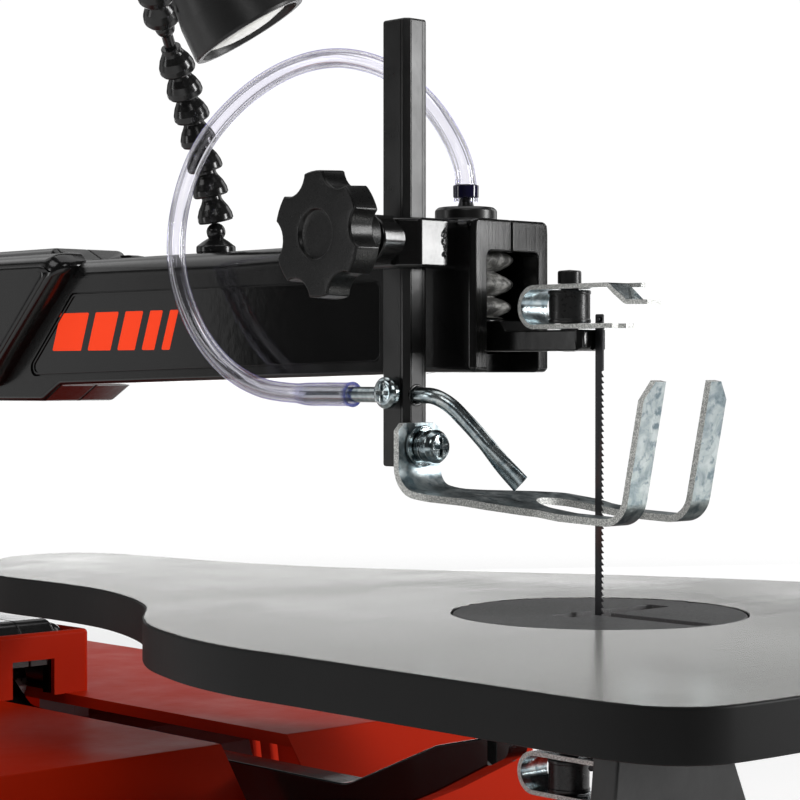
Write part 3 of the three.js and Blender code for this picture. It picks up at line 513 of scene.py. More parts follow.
# ----------------------------------------------------------------- materials
class N:
    """short hand for building a node tree"""

    def __init__(s, name):
        s.mat = bpy.data.materials.new(name)
        s.mat.use_nodes = True
        s.t = s.mat.node_tree
        s.t.nodes.clear()
        s.out = s.t.nodes.new("ShaderNodeOutputMaterial")
        s.b = s.t.nodes.new("ShaderNodeBsdfPrincipled")
        s.t.links.new(s.b.outputs[0], s.out.inputs[0])
        s.co = s.t.nodes.new("ShaderNodeTexCoord").outputs["Object"]
        s.height = None

    def new(s, kind, **kw):
        n = s.t.nodes.new(kind)
        for k, v in kw.items():
            setattr(n, k, v)
        return n

    def link(s, a, b):
        s.t.links.new(a, b)

    def put(s, inp, val):
        if isinstance(val, bpy.types.NodeSocket):
            s.link(val, inp)
        elif isinstance(val, (tuple, list)) and len(val) == 3 and inp.type == "RGBA":
            inp.default_value = (*val, 1)
        else:
            inp.default_value = val

    def set(s, **kw):
        for k, v in kw.items():
            s.put(s.b.inputs[k.replace("_", " ")], v)
        return s

    def noise(s, scale, detail=3.0, rough=0.5, stretch=None, dist=0.0):
        n = s.new("ShaderNodeTexNoise")
        co = s.co
        if stretch:
            mp = s.new("ShaderNodeMapping")
            mp.inputs["Scale"].default_value = stretch
            s.link(co, mp.inputs["Vector"])
            co = mp.outputs[0]
        s.link(co, n.inputs["Vector"])
        n.inputs["Scale"].default_value = scale
        n.inputs["Detail"].default_value = detail
        n.inputs["Roughness"].default_value = rough
        n.inputs["Distortion"].default_value = dist
        return n.outputs["Fac"]

    def voronoi(s, scale, feature="F1", rand=1.0, stretch=None):
        n = s.new("ShaderNodeTexVoronoi", feature=feature)
        co = s.co
        if stretch:
            mp = s.new("ShaderNodeMapping")
            mp.inputs["Scale"].default_value = stretch
            s.link(co, mp.inputs["Vector"])
            co = mp.outputs[0]
        s.link(co, n.inputs["Vector"])
        n.inputs["Scale"].default_value = scale
        n.inputs["Randomness"].default_value = rand
        return n.outputs["Distance"]

    def ramp(s, fac, *stops, mode="LINEAR"):
        n = s.new("ShaderNodeValToRGB")
        n.color_ramp.interpolation = mode
        e = n.color_ramp.elements
        while len(e) < len(stops):
            e.new(0.5)
        for k, (pos, col) in enumerate(stops):
            e[k].position = pos
            e[k].color = (col, col, col, 1) if not isinstance(col, (tuple, list)) else (*col, 1)
        s.link(fac, n.inputs[0])
        return n.outputs[0]

    def mix(s, fac, a, b, mode="MIX"):
        n = s.new("ShaderNodeMix", data_type="RGBA", blend_type=mode)
        s.put(n.inputs[0], fac)
        s.put(n.inputs[6], a)
        s.put(n.inputs[7], b)
        return n.outputs[2]

    def math(s, op, a, b=0.0, c=0.0, clamp=False):
        n = s.new("ShaderNodeMath", operation=op, use_clamp=clamp)
        s.put(n.inputs[0], a)
        s.put(n.inputs[1], b)
        s.put(n.inputs[2], c)
        return n.outputs[0]

    def bump(s, height, dist, strength=1.0):
        """dist in metres"""
        n = s.new("ShaderNodeBump")
        n.inputs["Strength"].default_value = strength
        n.inputs["Distance"].default_value = dist
        s.link(height, n.inputs["Height"])
        if s.height is not None:
            s.link(s.height, n.inputs["Normal"])
        s.height = n.outputs[0]
        s.link(s.height, s.b.inputs["Normal"])
        return s

    def attr(s, name):
        n = s.new("ShaderNodeAttribute", attribute_name=name)
        return n.outputs["Fac"]

    def split(s):
        n = s.new("ShaderNodeSeparateXYZ")
        s.link(s.co, n.inputs[0])
        return n.outputs

    def pointy(s):
        return s.new("ShaderNodeNewGeometry").outputs["Pointiness"]


def m_enamel(name, rough=0.2, base=0.0045, peel=0.5, dust=0.3, tint=(1, 1, 1)):
    """gloss black enamel on a casting: slight orange peel, faint dust and pinholes"""
    n = N(name)
    big = n.noise(60, 2, 0.5)
    fine = n.noise(900, 2, 0.5)
    specks = n.ramp(n.voronoi(420), (0.0, 1.0), (0.035, 0.0))
    speckmask = n.ramp(n.noise(37, 2, 0.5), (0.5, 0.0), (0.62, 1.0))
    sp = n.math("MULTIPLY", specks, speckmask)
    col = n.mix(big, tuple(base * 0.85 * t for t in tint), tuple(base * 1.2 * t for t in tint))
    col = n.mix(n.math("MULTIPLY", sp, dust), col, (0.16, 0.155, 0.145))
    r = n.ramp(big, (0.3, rough * 0.85), (0.7, rough * 1.2))
    r = n.math("ADD", n.math("MULTIPLY", fine, 0.05), r)
    n.set(Base_Color=col, Roughness=r, Specular_IOR_Level=0.5, IOR=1.5)
    n.bump(n.noise(310, 2, 0.45), 0.00004 * peel)
    n.bump(n.noise(1500, 2, 0.6), 0.000006)
    return n.mat


def m_satin_face():
    """front face of the head: dressed flat before painting, so it is satin with faint upright marks"""
    n = N("satin_face")
    st = n.noise(260, 4, 0.6, stretch=(3.2, 1, 0.13))
    n.set(Base_Color=n.mix(st, (0.005, 0.005, 0.005), (0.013, 0.013, 0.012)), Roughness=n.ramp(st, (0.3, 0.18), (0.7, 0.24)), Specular_IOR_Level=0.24)
    n.bump(st, 0.00002)
    n.bump(n.noise(1700, 3, 0.6), 0.000012)
    return n.mat


def m_pitted():
    """unpolished casting skin, painted: pits and lumps"""
    n = N("cast_pitted")
    n.set(Base_Color=(0.012, 0.012, 0.012), Roughness=0.24)
    n.bump(n.ramp(n.voronoi(520), (0.0, 0.0), (0.28, 1.0)), 0.00035, 0.9)
    n.bump(n.noise(700, 3, 0.6), 0.00015)
    return n.mat


def m_matte_plastic(name, base=0.016, rough=0.42, grain=1.0, spec=0.45):
    n = N(name)
    f = n.noise(2300, 3, 0.6)
    big = n.noise(70, 2, 0.5)
    n.set(Base_Color=n.mix(big, (base * 0.9,) * 3, (base * 1.15,) * 3), Roughness=n.ramp(f, (0.25, rough * 0.85), (0.75, rough * 1.18)), Specular_IOR_Level=spec)
    n.bump(f, 0.000018 * grain)
    n.bump(n.noise(240, 2, 0.5), 0.00003)
    return n.mat


def m_zinc(name="zinc", rough=0.2, blue=1.0, scale=1.0, tone=1.0):
    """bright zinc plate over rolled steel: bluish, mottled, fine handling marks"""
    n = N(name)
    cloud = n.noise(170 * scale, 4, 0.6, dist=0.6)
    fine = n.noise(1300 * scale, 3, 0.6)
    col = n.mix(n.ramp(cloud, (0.34, 0.0), (0.66, 1.0)), (0.24 * tone, 0.30 * tone, 0.325 * tone), (0.62 * tone, 0.67 * tone, 0.675 * tone))
    col = n.mix(n.ramp(n.noise(420 * scale, 3, 0.5), (0.52, 0.0), (0.66, 1.0)), col, (0.2 * tone, 0.26 * tone, 0.29 * tone) if blue else (0.5, 0.5, 0.5))
    n.set(Base_Color=col, Metallic=1.0, Roughness=n.ramp(cloud, (0.25, rough * 0.7), (0.75, rough * 1.5)))
    scratch = n.noise(700 * scale, 3, 0.7, stretch=(0.25, 1.6, 1.0), dist=1.2)
    n.bump(scratch, 0.00002)
    n.bump(fine, 0.00002)
    n.bump(n.noise(150 * scale, 2, 0.5), 0.00004)
    return n.mat


def m_sheared():
    """the broken edge of blanked sheet under zinc: granular, bright and dull grains"""
    n = N("sheared_edge")
    g = n.noise(2600, 4, 0.75)
    v = n.voronoi(3000)
    col = n.mix(n.ramp(g, (0.42, 0.0), (0.6, 1.0)), (0.42, 0.43, 0.42), (0.95, 0.95, 0.92))
    n.set(Base_Color=col, Metallic=1.0, Roughness=n.ramp(v, (0.1, 0.35), (0.6, 0.6)))
    n.bump(g, 0.00012)
    n.bump(v, 0.00006)
    return n.mat


def m_steel(name, base=0.55, rough=0.3, stretch=(1, 1, 1), scale=500):
    n = N(name)
    s = n.noise(scale, 4, 0.6, stretch=stretch)
    n.set(Base_Color=n.mix(s, (base * 0.8,) * 3, (base * 1.15,) * 3), Metallic=1.0, Roughness=n.ramp(s, (0.3, rough * 0.8), (0.7, rough * 1.25)))
    n.bump(s, 0.00002)
    return n.mat


def m_blade():
    """blued spring steel, dark, with fine grinding lines along its length and a brown tinge"""
    n = N("blade_steel")
    s = n.noise(900, 4, 0.6, stretch=(1, 1, 0.05))
    tinge = n.ramp(n.noise(140, 2, 0.5, stretch=(1, 1, 0.3)), (0.55, 0.0), (0.75, 1.0))
    n.set(Base_Color=n.mix(tinge, (0.022, 0.022, 0.024), (0.06, 0.024, 0.018)), Metallic=0.7, Roughness=n.ramp(s, (0.3, 0.28), (0.7, 0.42)))
    n.bump(s, 0.00001)
    return n.mat


def m_rubber_dusty():
    """dark rubber with chalky bloom that has gathered in specks"""
    n = N("bellows_rubber")
    bloom = n.noise(210, 5, 0.7, dist=0.4)
    dots = n.ramp(n.voronoi(1500), (0.0, 1.0), (0.16, 0.0))
    mask = n.ramp(bloom, (0.46, 0.0), (0.62, 1.0))
    col = n.mix(mask, (0.075, 0.074, 0.07), (0.42, 0.415, 0.395))
    col = n.mix(n.math("MULTIPLY", dots, n.ramp(n.noise(90, 3, 0.6), (0.42, 0.1), (0.6, 0.9))), col, (0.5, 0.49, 0.46))
    n.set(Base_Color=col, Roughness=n.ramp(bloom, (0.3, 0.42), (0.7, 0.72)), Specular_IOR_Level=0.5)
    n.bump(n.noise(1100, 4, 0.7), 0.00008)
    return n.mat


def m_foot_rubber():
    n = N("foot_rubber")
    n.set(Base_Color=n.mix(n.noise(200, 3, 0.6), (0.02, 0.02, 0.02), (0.04, 0.039, 0.037)), Roughness=0.75)
    n.bump(n.noise(1400, 3, 0.6), 0.00005)
    return n.mat


def m_vinyl():
    """clear vinyl with a violet cast: each wall is seen through and darkens where it turns edge on"""
    n = N("clear_vinyl")
    n.t.nodes.remove(n.b)
    lw = n.new("ShaderNodeLayerWeight")
    lw.inputs["Blend"].default_value = 0.5
    face = lw.outputs["Facing"]
    streak = n.noise(140, 2, 0.5, stretch=(1, 1, 1))
    tint = n.ramp(face, (0.0, (0.985, 0.982, 0.995)), (0.62, (0.945, 0.94, 0.985)), (0.85, (0.62, 0.60, 0.92)), (0.97, (0.13, 0.11, 0.52)))
    tint = n.mix(n.math("MULTIPLY", streak, 0.08), tint, (0.80, 0.79, 0.93))
    tint = n.mix(n.attr("mouth"), tint, (0.16, 0.20, 0.62))
    clear = n.new("ShaderNodeBsdfTransparent")
    n.link(tint, clear.inputs[0])
    gloss = n.new("ShaderNodeBsdfGlossy")
    gloss.inputs["Roughness"].default_value = 0.07
    gloss.inputs["Color"].default_value = (1, 1, 1, 1)
    fres = n.new("ShaderNodeFresnel")
    fres.inputs["IOR"].default_value = 1.42
    mx = n.new("ShaderNodeMixShader")
    n.link(n.math("MULTIPLY", fres.outputs[0], 0.7, clamp=True), mx.inputs[0])
    n.link(clear.outputs[0], mx.inputs[1])
    n.link(gloss.outputs[0], mx.inputs[2])
    n.link(mx.outputs[0], n.out.inputs[0])
    return n.mat


def m_table():
    """ground and lacquered table: light grey, cloudy, with darker worn patches and grinding lines"""
    n = N("table_top")
    cloud = n.noise(13, 4, 0.6, dist=0.5)
    patch = n.noise(6.5, 3, 0.55, dist=0.8)
    grind = n.noise(60, 4, 0.65, stretch=(0.18, 6.0, 1))
    col = n.mix(n.ramp(cloud, (0.35, 0.0), (0.68, 1.0)), (0.42, 0.42, 0.40), (0.60, 0.60, 0.575))
    col = n.mix(n.ramp(patch, (0.47, 0.0), (0.62, 0.85)), col, (0.22, 0.22, 0.205))
    col = n.mix(n.ramp(grind, (0.4, 0.0), (0.75, 0.4)), col, (0.72, 0.72, 0.69))
    xyz = n.split()
    dy = n.math("SUBTRACT", xyz[1], DY * 0.001)
    away = n.math("SQRT", n.math("ADD", n.math("MULTIPLY", xyz[0], xyz[0]), n.math("MULTIPLY", dy, dy)))
    throat = n.math("SUBTRACT", 0.62, n.math("MULTIPLY", n.math("ABSOLUTE", n.math("SUBTRACT", away, 0.0416)), 520.0))
    edge = n.math("MAXIMUM", n.attr("rim"), throat)
    ragged = n.math("ADD", edge, n.math("MULTIPLY", n.math("SUBTRACT", n.noise(300, 4, 0.75), 0.5), 1.5))
    paint = n.ramp(ragged, (0.58, 0.0), (0.62, 1.0))
    col = n.mix(paint, col, (0.006, 0.006, 0.006))
    n.set(Base_Color=col, Metallic=n.math("MULTIPLY", n.math("SUBTRACT", 1.0, paint), 0.55), Roughness=n.mix(paint, n.ramp(cloud, (0.3, 0.19), (0.7, 0.27)), (0.5, 0.5, 0.5)), Specular_IOR_Level=n.mix(paint, (0.5, 0.5, 0.5), (0.16, 0.16, 0.16)))
    n.bump(grind, 0.00002)
    n.bump(n.noise(700, 3, 0.6), 0.00001)
    return n.mat


def m_insert():
    """moulded insert: dark grey, fine light speckle, dusty"""
    n = N("insert_plastic")
    f = n.noise(1900, 3, 0.7)
    d = n.ramp(n.noise(2600, 2, 0.6), (0.62, 0.0), (0.72, 1.0))
    cl = n.noise(35, 3, 0.6)
    col = n.mix(cl, (0.045, 0.045, 0.047), (0.085, 0.085, 0.086))
    col = n.mix(n.math("MULTIPLY", d, 0.6), col, (0.32, 0.32, 0.31))
    n.set(Base_Color=col, Roughness=n.ramp(f, (0.3, 0.4), (0.7, 0.58)), Specular_IOR_Level=0.45)
    n.bump(f, 0.00006)
    return n.mat


def m_orange(name="base_orange", col=(0.47, 0.0165, 0.0012)):
    n = N(name)
    big = n.noise(9, 3, 0.5)
    c = n.mix(big, tuple(x * 0.88 for x in col), tuple(min(1, x * 1.08) for x in col))
    dust = n.ramp(n.noise(140, 4, 0.6), (0.66, 0.0), (0.85, 0.06))
    c = n.mix(dust, c, (0.5, 0.2, 0.12))
    n.set(Base_Color=c, Roughness=n.ramp(n.noise(45, 3, 0.6), (0.3, 0.42), (0.7, 0.55)), Specular_IOR_Level=0.06)
    n.bump(n.noise(330, 2, 0.5), 0.00006)
    return n.mat


def m_plain(name, col, rough, metal=0.0, scale=300, bump=0.00003):
    n = N(name)
    s = n.noise(scale, 3, 0.55)
    n.set(Base_Color=n.mix(s, tuple(x * 0.86 for x in col), tuple(min(1, x * 1.14) for x in col)), Metallic=metal, Roughness=n.ramp(s, (0.3, rough * 0.85), (0.7, rough * 1.15)))
    n.bump(s, bump)
    return n.mat


def m_bars():
    """day-glow orange film of the decoration; its glow is painted light, an emission of its own that no lamp gives"""
    n = N("bar_orange")
    # the emission is a painted glow: it makes the bars brighter than the lamps alone would light them
    n.set(Base_Color=(0.95, 0.07, 0.02), Roughness=0.6, Specular_IOR_Level=0.08, Emission_Color=(1.0, 0.05, 0.012), Emission_Strength=0.42)
    return n.mat


MT = {
    "enamel": m_enamel("cast_black", 0.16),
    "satin": m_satin_face(),
    "pitted": m_pitted(),
    "post": m_enamel("post_black", 0.3, 0.0035, 1.4, 0.8),
    "panel": m_enamel("panel_gloss", 0.06, 0.004, 0.5, 0.6),
    "bars": m_bars(),
    "knob": m_matte_plastic("knob_plastic", 0.0035, 0.29, 1.0, 0.3),
    "neck": m_matte_plastic("neck_plastic", 0.009, 0.2, 0.5),
    "dark_plastic": m_matte_plastic("dark_plastic", 0.010, 0.4),
    "zinc": m_zinc(),
    "zinc_fork": m_zinc("zinc_fork", 0.34, 1.0, 1.0, 0.82),
    "zinc_fine": m_zinc("zinc_screw", 0.13, 1.0, 1.6),
    "sheared": m_sheared(),
    "tube": m_zinc("zinc_tube", 0.2, 1.0, 1.0),
    "blade": m_blade(),
    "rubber": m_rubber_dusty(),
    "foot_rubber": m_foot_rubber(),
    "vinyl": m_vinyl(),
    "table": m_table(),
    "insert": m_insert(),
    "orange": m_orange(),
    "black_oxide": m_enamel("black_oxide", 0.27, 0.007, 1.0, 0.3),
    "spacer": m_plain("spacer_black", (0.02, 0.02, 0.02), 0.3, 0.3, 900),
    "steel": m_steel("machined_steel"),
    "bronze": m_plain("bronze", (0.42, 0.27, 0.1), 0.4, 1.0),
    "motor": m_plain("motor_grey", (0.12, 0.13, 0.14), 0.45, 0.3),
    "red": m_plain("switch_red", (0.36, 0.012, 0.01), 0.22),
    "lens": m_plain("lens_frosted", (0.85, 0.85, 0.8), 0.35),
    "casting": m_enamel("dark_casting", 0.42, 0.012, 3.0, 0.5),
    "mark": m_plain("mark_white", (0.7, 0.7, 0.7), 0.4, scale=500, bump=0.00001),
    "dark_end": m_plain("hose_end_navy", (0.008, 0.007, 0.03), 0.08, scale=60, bump=0.00001),
    "inside": m_plain("dark_inside", (0.006, 0.006, 0.006), 0.5),
}


# -------------------------------------------------------------------- pieces
PIECES = {}


def piece(name, g, body, mats, replaces=(), angle=34, weighted=True, tidy=True):
    """makes the object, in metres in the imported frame, and ties it to its body"""
    me = mesh_of(g, name, 0, tidy)
    me.transform(Matrix.Translation((0, DY * 0.001, DZ * 0.001)) @ Matrix.Scale(0.001, 4))
    for m in mats:
        me.materials.append(MT[m])
    me.polygons.foreach_set("use_smooth", [True] * len(me.polygons))
    me.set_sharp_from_angle(angle=math.radians(angle))
    me.update()
    ob = bpy.data.objects.new(name, me)
    scene.collection.objects.link(ob)
    if weighted:
        md = ob.modifiers.new("normals", "WEIGHTED_NORMAL")
        md.keep_sharp = True
        md.weight = 50
    if body:
        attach(ob, body)
    for r in replaces if isinstance(replaces, (list, tuple)) else (replaces,):
        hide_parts(r)
    PIECES[name] = ob
    return ob


# ------------------------------------------------------------ camera and room
cam_data = bpy.data.cameras.new("camera")
cam = bpy.data.objects.new("camera", cam_data)
scene.collection.objects.link(cam)
scene.camera = cam
cam_data.lens = 100.0
cam_data.sensor_width = 36.0
cam_data.clip_start = 0.02
cam_data.clip_end = 60
cam.location = P((-463.5, -415.2, 68))
_pitch = math.atan(31 / 2222)
_fwd = Vector((0.682 * math.cos(_pitch), 0.731 * math.cos(_pitch), -math.sin(_pitch)))
cam.rotation_euler = _fwd.to_track_quat("-Z", "Y").to_euler()
scene.view_settings.view_transform = "Standard"
scene.view_settings.look = "None"

world = bpy.data.worlds.new("studio")
scene.world = world
world.use_nodes = True
wt = world.node_tree
wt.nodes.clear()
w_out = wt.nodes.new("ShaderNodeOutputWorld")
w_white = wt.nodes.new("ShaderNodeBackground")
w_white.inputs[0].default_value = (1, 1, 1, 1)
w_white.inputs[1].default_value = 1.02
w_dim = wt.nodes.new("ShaderNodeBackground")
w_dim.inputs[0].default_value = (1, 1, 1, 1)
w_dim.inputs[1].default_value = 0.05
w_path = wt.nodes.new("ShaderNodeLightPath")
w_max = wt.nodes.new("ShaderNodeMath")
w_max.operation = "MAXIMUM"
w_mix = wt.nodes.new("ShaderNodeMixShader")
wt.links.new(w_path.outputs["Is Camera Ray"], w_max.inputs[0])
wt.links.new(w_path.outputs["Is Transmission Ray"], w_max.inputs[1])
wt.links.new(w_max.outputs[0], w_mix.inputs[0])
wt.links.new(w_dim.outputs[0], w_mix.inputs[1])
wt.links.new(w_white.outputs[0], w_mix.inputs[2])
wt.links.new(w_mix.outputs[0], w_out.inputs[0])


def softbox(name, at, aim, w, h, radiance, colour=(1, 1, 1), spread=PI):
    """rectangular light that shines with the radiance given, hidden from the camera"""
    d = bpy.data.lights.new(name, "AREA")
    d.shape = "RECTANGLE"
    d.size, d.size_y = w, h
    d.energy = radiance * PI * w * h
    d.color = colour
    d.spread = spread
    o = bpy.data.objects.new(name, d)
    scene.collection.objects.link(o)
    o.location = P(at)
    o.rotation_euler = (P(aim) - P(at)).to_track_quat("-Z", "Y").to_euler()
    o.visible_camera = False
    return o


AIM = (0, 60, 60)
softbox("light_backdrop", (980, 1500, -75), (0, 0, 40), 1.62, 0.51, 2.5)
softbox("light_back_high", (520, 1560, 900), (0, 120, 90), 1.5, 0.7, 0.55)
softbox("light_back_top", (-280, 1380, 1030), (-16, 200, 100), 1.1, 0.6, 0.8)
softbox("light_right", (622, -765, 330), (-10, 40, 90), 0.2, 0.52, 24.0)
softbox("light_top", (60, 160, 1150), AIM, 1.1, 1.1, 1.3)
softbox("light_camera", (-620, -660, 620), AIM, 0.3, 0.3, 3.4)
softbox("light_left_grey", (-605, 1570, 110), (-16, 200, 85), 0.9, 0.9, 0.48)
softbox("light_left_metal", (-1230, 870, 40), (0, -10, 40), 0.30, 0.5, 3.4)
softbox("light_far_right", (1250, 150, 520), AIM, 0.6, 0.8, 1.6)
softbox("light_low", (-700, -300, -90), (-20, 120, 60), 0.7, 0.12, 0.6)
softbox("light_rear_left", (-900, 420, 700), AIM, 0.5, 0.5, 2.2)

floor_me = bpy.data.meshes.new("floor")
_ring = [(2.4 * math.cos(2 * PI * i / 64), 2.4 * math.sin(2 * PI * i / 64), -0.0006) for i in range(64)]
floor_me.from_pydata(_ring, [], [list(range(64))])
floor = bpy.data.objects.new("floor", floor_me)
scene.collection.objects.link(floor)
_n = N("floor")
_n.t.nodes.remove(_n.b)
_dif = _n.new("ShaderNodeBsdfDiffuse")
_dif.inputs[0].default_value = (0.86, 0.86, 0.86, 1)
_em = _n.new("ShaderNodeEmission")
_em.inputs[1].default_value = 0.34
_add = _n.new("ShaderNodeAddShader")
_clear = _n.new("ShaderNodeBsdfTransparent")
_mx = _n.new("ShaderNodeMixShader")
_len = _n.new("ShaderNodeVectorMath", operation="LENGTH")
_n.link(_n.co, _len.inputs[0])
_n.link(_dif.outputs[0], _add.inputs[0])
_n.link(_em.outputs[0], _add.inputs[1])
_n.link(_n.ramp(_n.math("DIVIDE", _len.outputs["Value"], 2.4), (0.25, 0.0), (0.85, 1.0), mode="EASE"), _mx.inputs[0])
_n.link(_add.outputs[0], _mx.inputs[1])
_n.link(_clear.outputs[0], _mx.inputs[2])
_n.link(_mx.outputs[0], _n.out.inputs[0])
floor_me.materials.append(_n.mat)

# ------------------------------------------------------------------ air hose
HOSE = [(0, 53, 120.9), (-0.3, 53.4, 127), (-1.4, 57, 136), (-3.6, 66, 148), (-7, 80, 158.5), (-11, 98, 163.5), (-14.5, 118, 161.5), (-18, 138, 152.5), (-21, 153.5, 138.5), (-23.5, 161, 120), (-25.5, 160, 101), (-26.6, 150, 83), (-27, 135, 70), (-27, 117, 62.6), (-27, 95.3, 60.5)]
HOSE_ALL = [(0, 53, 117.4)] + HOSE + [(-27, 84, 60.5), (-27, 73, 60.5)]
hose_line = catmull(HOSE_ALL, 150)


def hose_wall(out_r, in_r):
    def outer(u_mm, total):
        # stretched over the spigot at the cap and over the metal tube at the other end
        r = out_r
        r += 0.55 * max(0.0, 1 - u_mm / 6.0) ** 0.5 if u_mm < 6 else 0
        back = total - u_mm
        if back < 25:
            r += 0.5 * min(1.0, (25 - back) / 5)
        if back < 2.2:
            r += 0.25 * (2.2 - back) / 2.2
        return r

    return outer


def make_hose():
    total = length_of(hose_line)
    outer = hose_wall(3.0, 2.0)
    fr = frames(hose_line, (0, 1, 0))
    n, k = len(hose_line), 28
    v, f = [], []
    s = 0.0
    dist = [0.0]
    for i in range(1, n):
        dist.append(dist[-1] + (hose_line[i] - hose_line[i - 1]).length)
    for shell in (0, 1):
        for i, p in enumerate(hose_line):
            r = outer(dist[i], total)
            if shell:
                r -= 1.0 if 8 < dist[i] < total - 26 else (0.75 if dist[i] >= 8 else 1.0)
            t, nn, ss = fr[i]
            for j in range(k):
                q = 2 * PI * j / k
                v.append(p + nn * (r * math.cos(q)) + ss * (r * math.sin(q)))
    for i in range(n - 1):
        for j in range(k):
            b = (j + 1) % k
            f.append([i * k + j, i * k + b, (i + 1) * k + b, (i + 1) * k + j])
            o = n * k
            f.append([o + i * k + j, o + (i + 1) * k + j, o + (i + 1) * k + b, o + i * k + b])
    for i in (0, n - 1):
        for j in range(k):
            b = (j + 1) % k
            f.append([i * k + j, n * k + i * k + j, n * k + i * k + b, i * k + b])
    return G(v, f)


hose = piece("hose", make_hose(), None, ["vinyl"], ["air_hose"], angle=60, weighted=False)
_mouth = hose.data.attributes.new("mouth", "FLOAT", "POINT")
for _v, _d in zip(hose.data.vertices, _mouth.data):
    _y, _z = _v.co.y * 1000 - DY, _v.co.z * 1000 - DZ
    if _z < 66:
        # the cut end and the wall stretched over the pipe's end look deeper blue
        _d.value = 0.85 if _y < 74.3 else 0.55 * max(0.0, 1 - abs(_y - 94.6) / 1.5)
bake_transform(hose)


# --------------------------------------------------------------- cast frame
HEAD_TOP, ARM_TOP, PIVOT_Y, ROD_Y = 111.2, 106.4, 430, 462
# points with their corner radius and the radius of the long edge there
LIMB = [
    (34, 67, 1.6, 1.7), (34, 107.5, 0, 1.7), (34, HEAD_TOP - 1.0, 0, 2.1), (34, HEAD_TOP, 0.9, 2.7), (36.2, HEAD_TOP, 0, 3.2), (70, HEAD_TOP, 3, 3.3), (78, ARM_TOP, 3, 5.5), (150, ARM_TOP, 0, 7.5), (236, ARM_TOP, 4, 7.0), (246, 111, 4, 3), (470, 111, 12, 3), (489, 98, 10, 3),
    (489, -53.7, 0, 2), (284, -53.7, 0, 2), (284, -38, 4, 2), (294, -27, 6, 2), (392, -27, 8, 2), (406, -13, 8, 2), (406, 43, 10, 2), (394, 55.5, 10, 2), (252, 56.5, 5, 1.8), (241, 62.3, 4, 1.6), (73, 66.3, 3, 1.4), (66, 67, 0, 1.5),
]
WIDE_A = [(229, 104, 3), (235, 109, 5), (466, 109, 9), (486, 97, 9), (487, -53.7, 3), (285, -53.7, 3), (285, -40, 5), (295, -28.5, 6), (396, -28.5, 8), (407, -16, 8), (407, 43, 8), (396, 57, 8), (300, 58, 8), (277, 61.7, 6)]
WIDE_B = [(237.4, 101.8, 3), (241, 104, 5), (463, 104, 9), (481, 94, 9), (482, -53.7, 3), (290, -53.7, 3), (290, -42, 5), (299, -33.5, 6), (401, -33.5, 8), (412, -22, 8), (412, 47, 8), (400, 63, 8), (300, 66, 8), (266.6, 74.4, 6)]
THIN = [(40, 72.4), (40, 106.4), (67, 106.4), (75, 103), (236, 103), (246, 107.2), (462, 107.2), (484, 95), (484, -60), (288, -60), (288, -38), (297, -31), (401, -31), (410, -21), (410, 47), (399, 59.5), (252, 60.3), (243, 66.2), (73, 70.2), (60, 72.4)]
WIDE = [(286, 66), (286, 101), (460, 101), (477, 92), (477, -60), (294, -60), (294, -44), (302, -37), (404, -37), (416, -26), (416, 50), (405, 66)]
SCREWS = [(300, 99.3), (398, 98.5), (422, 10), (476, 20)]


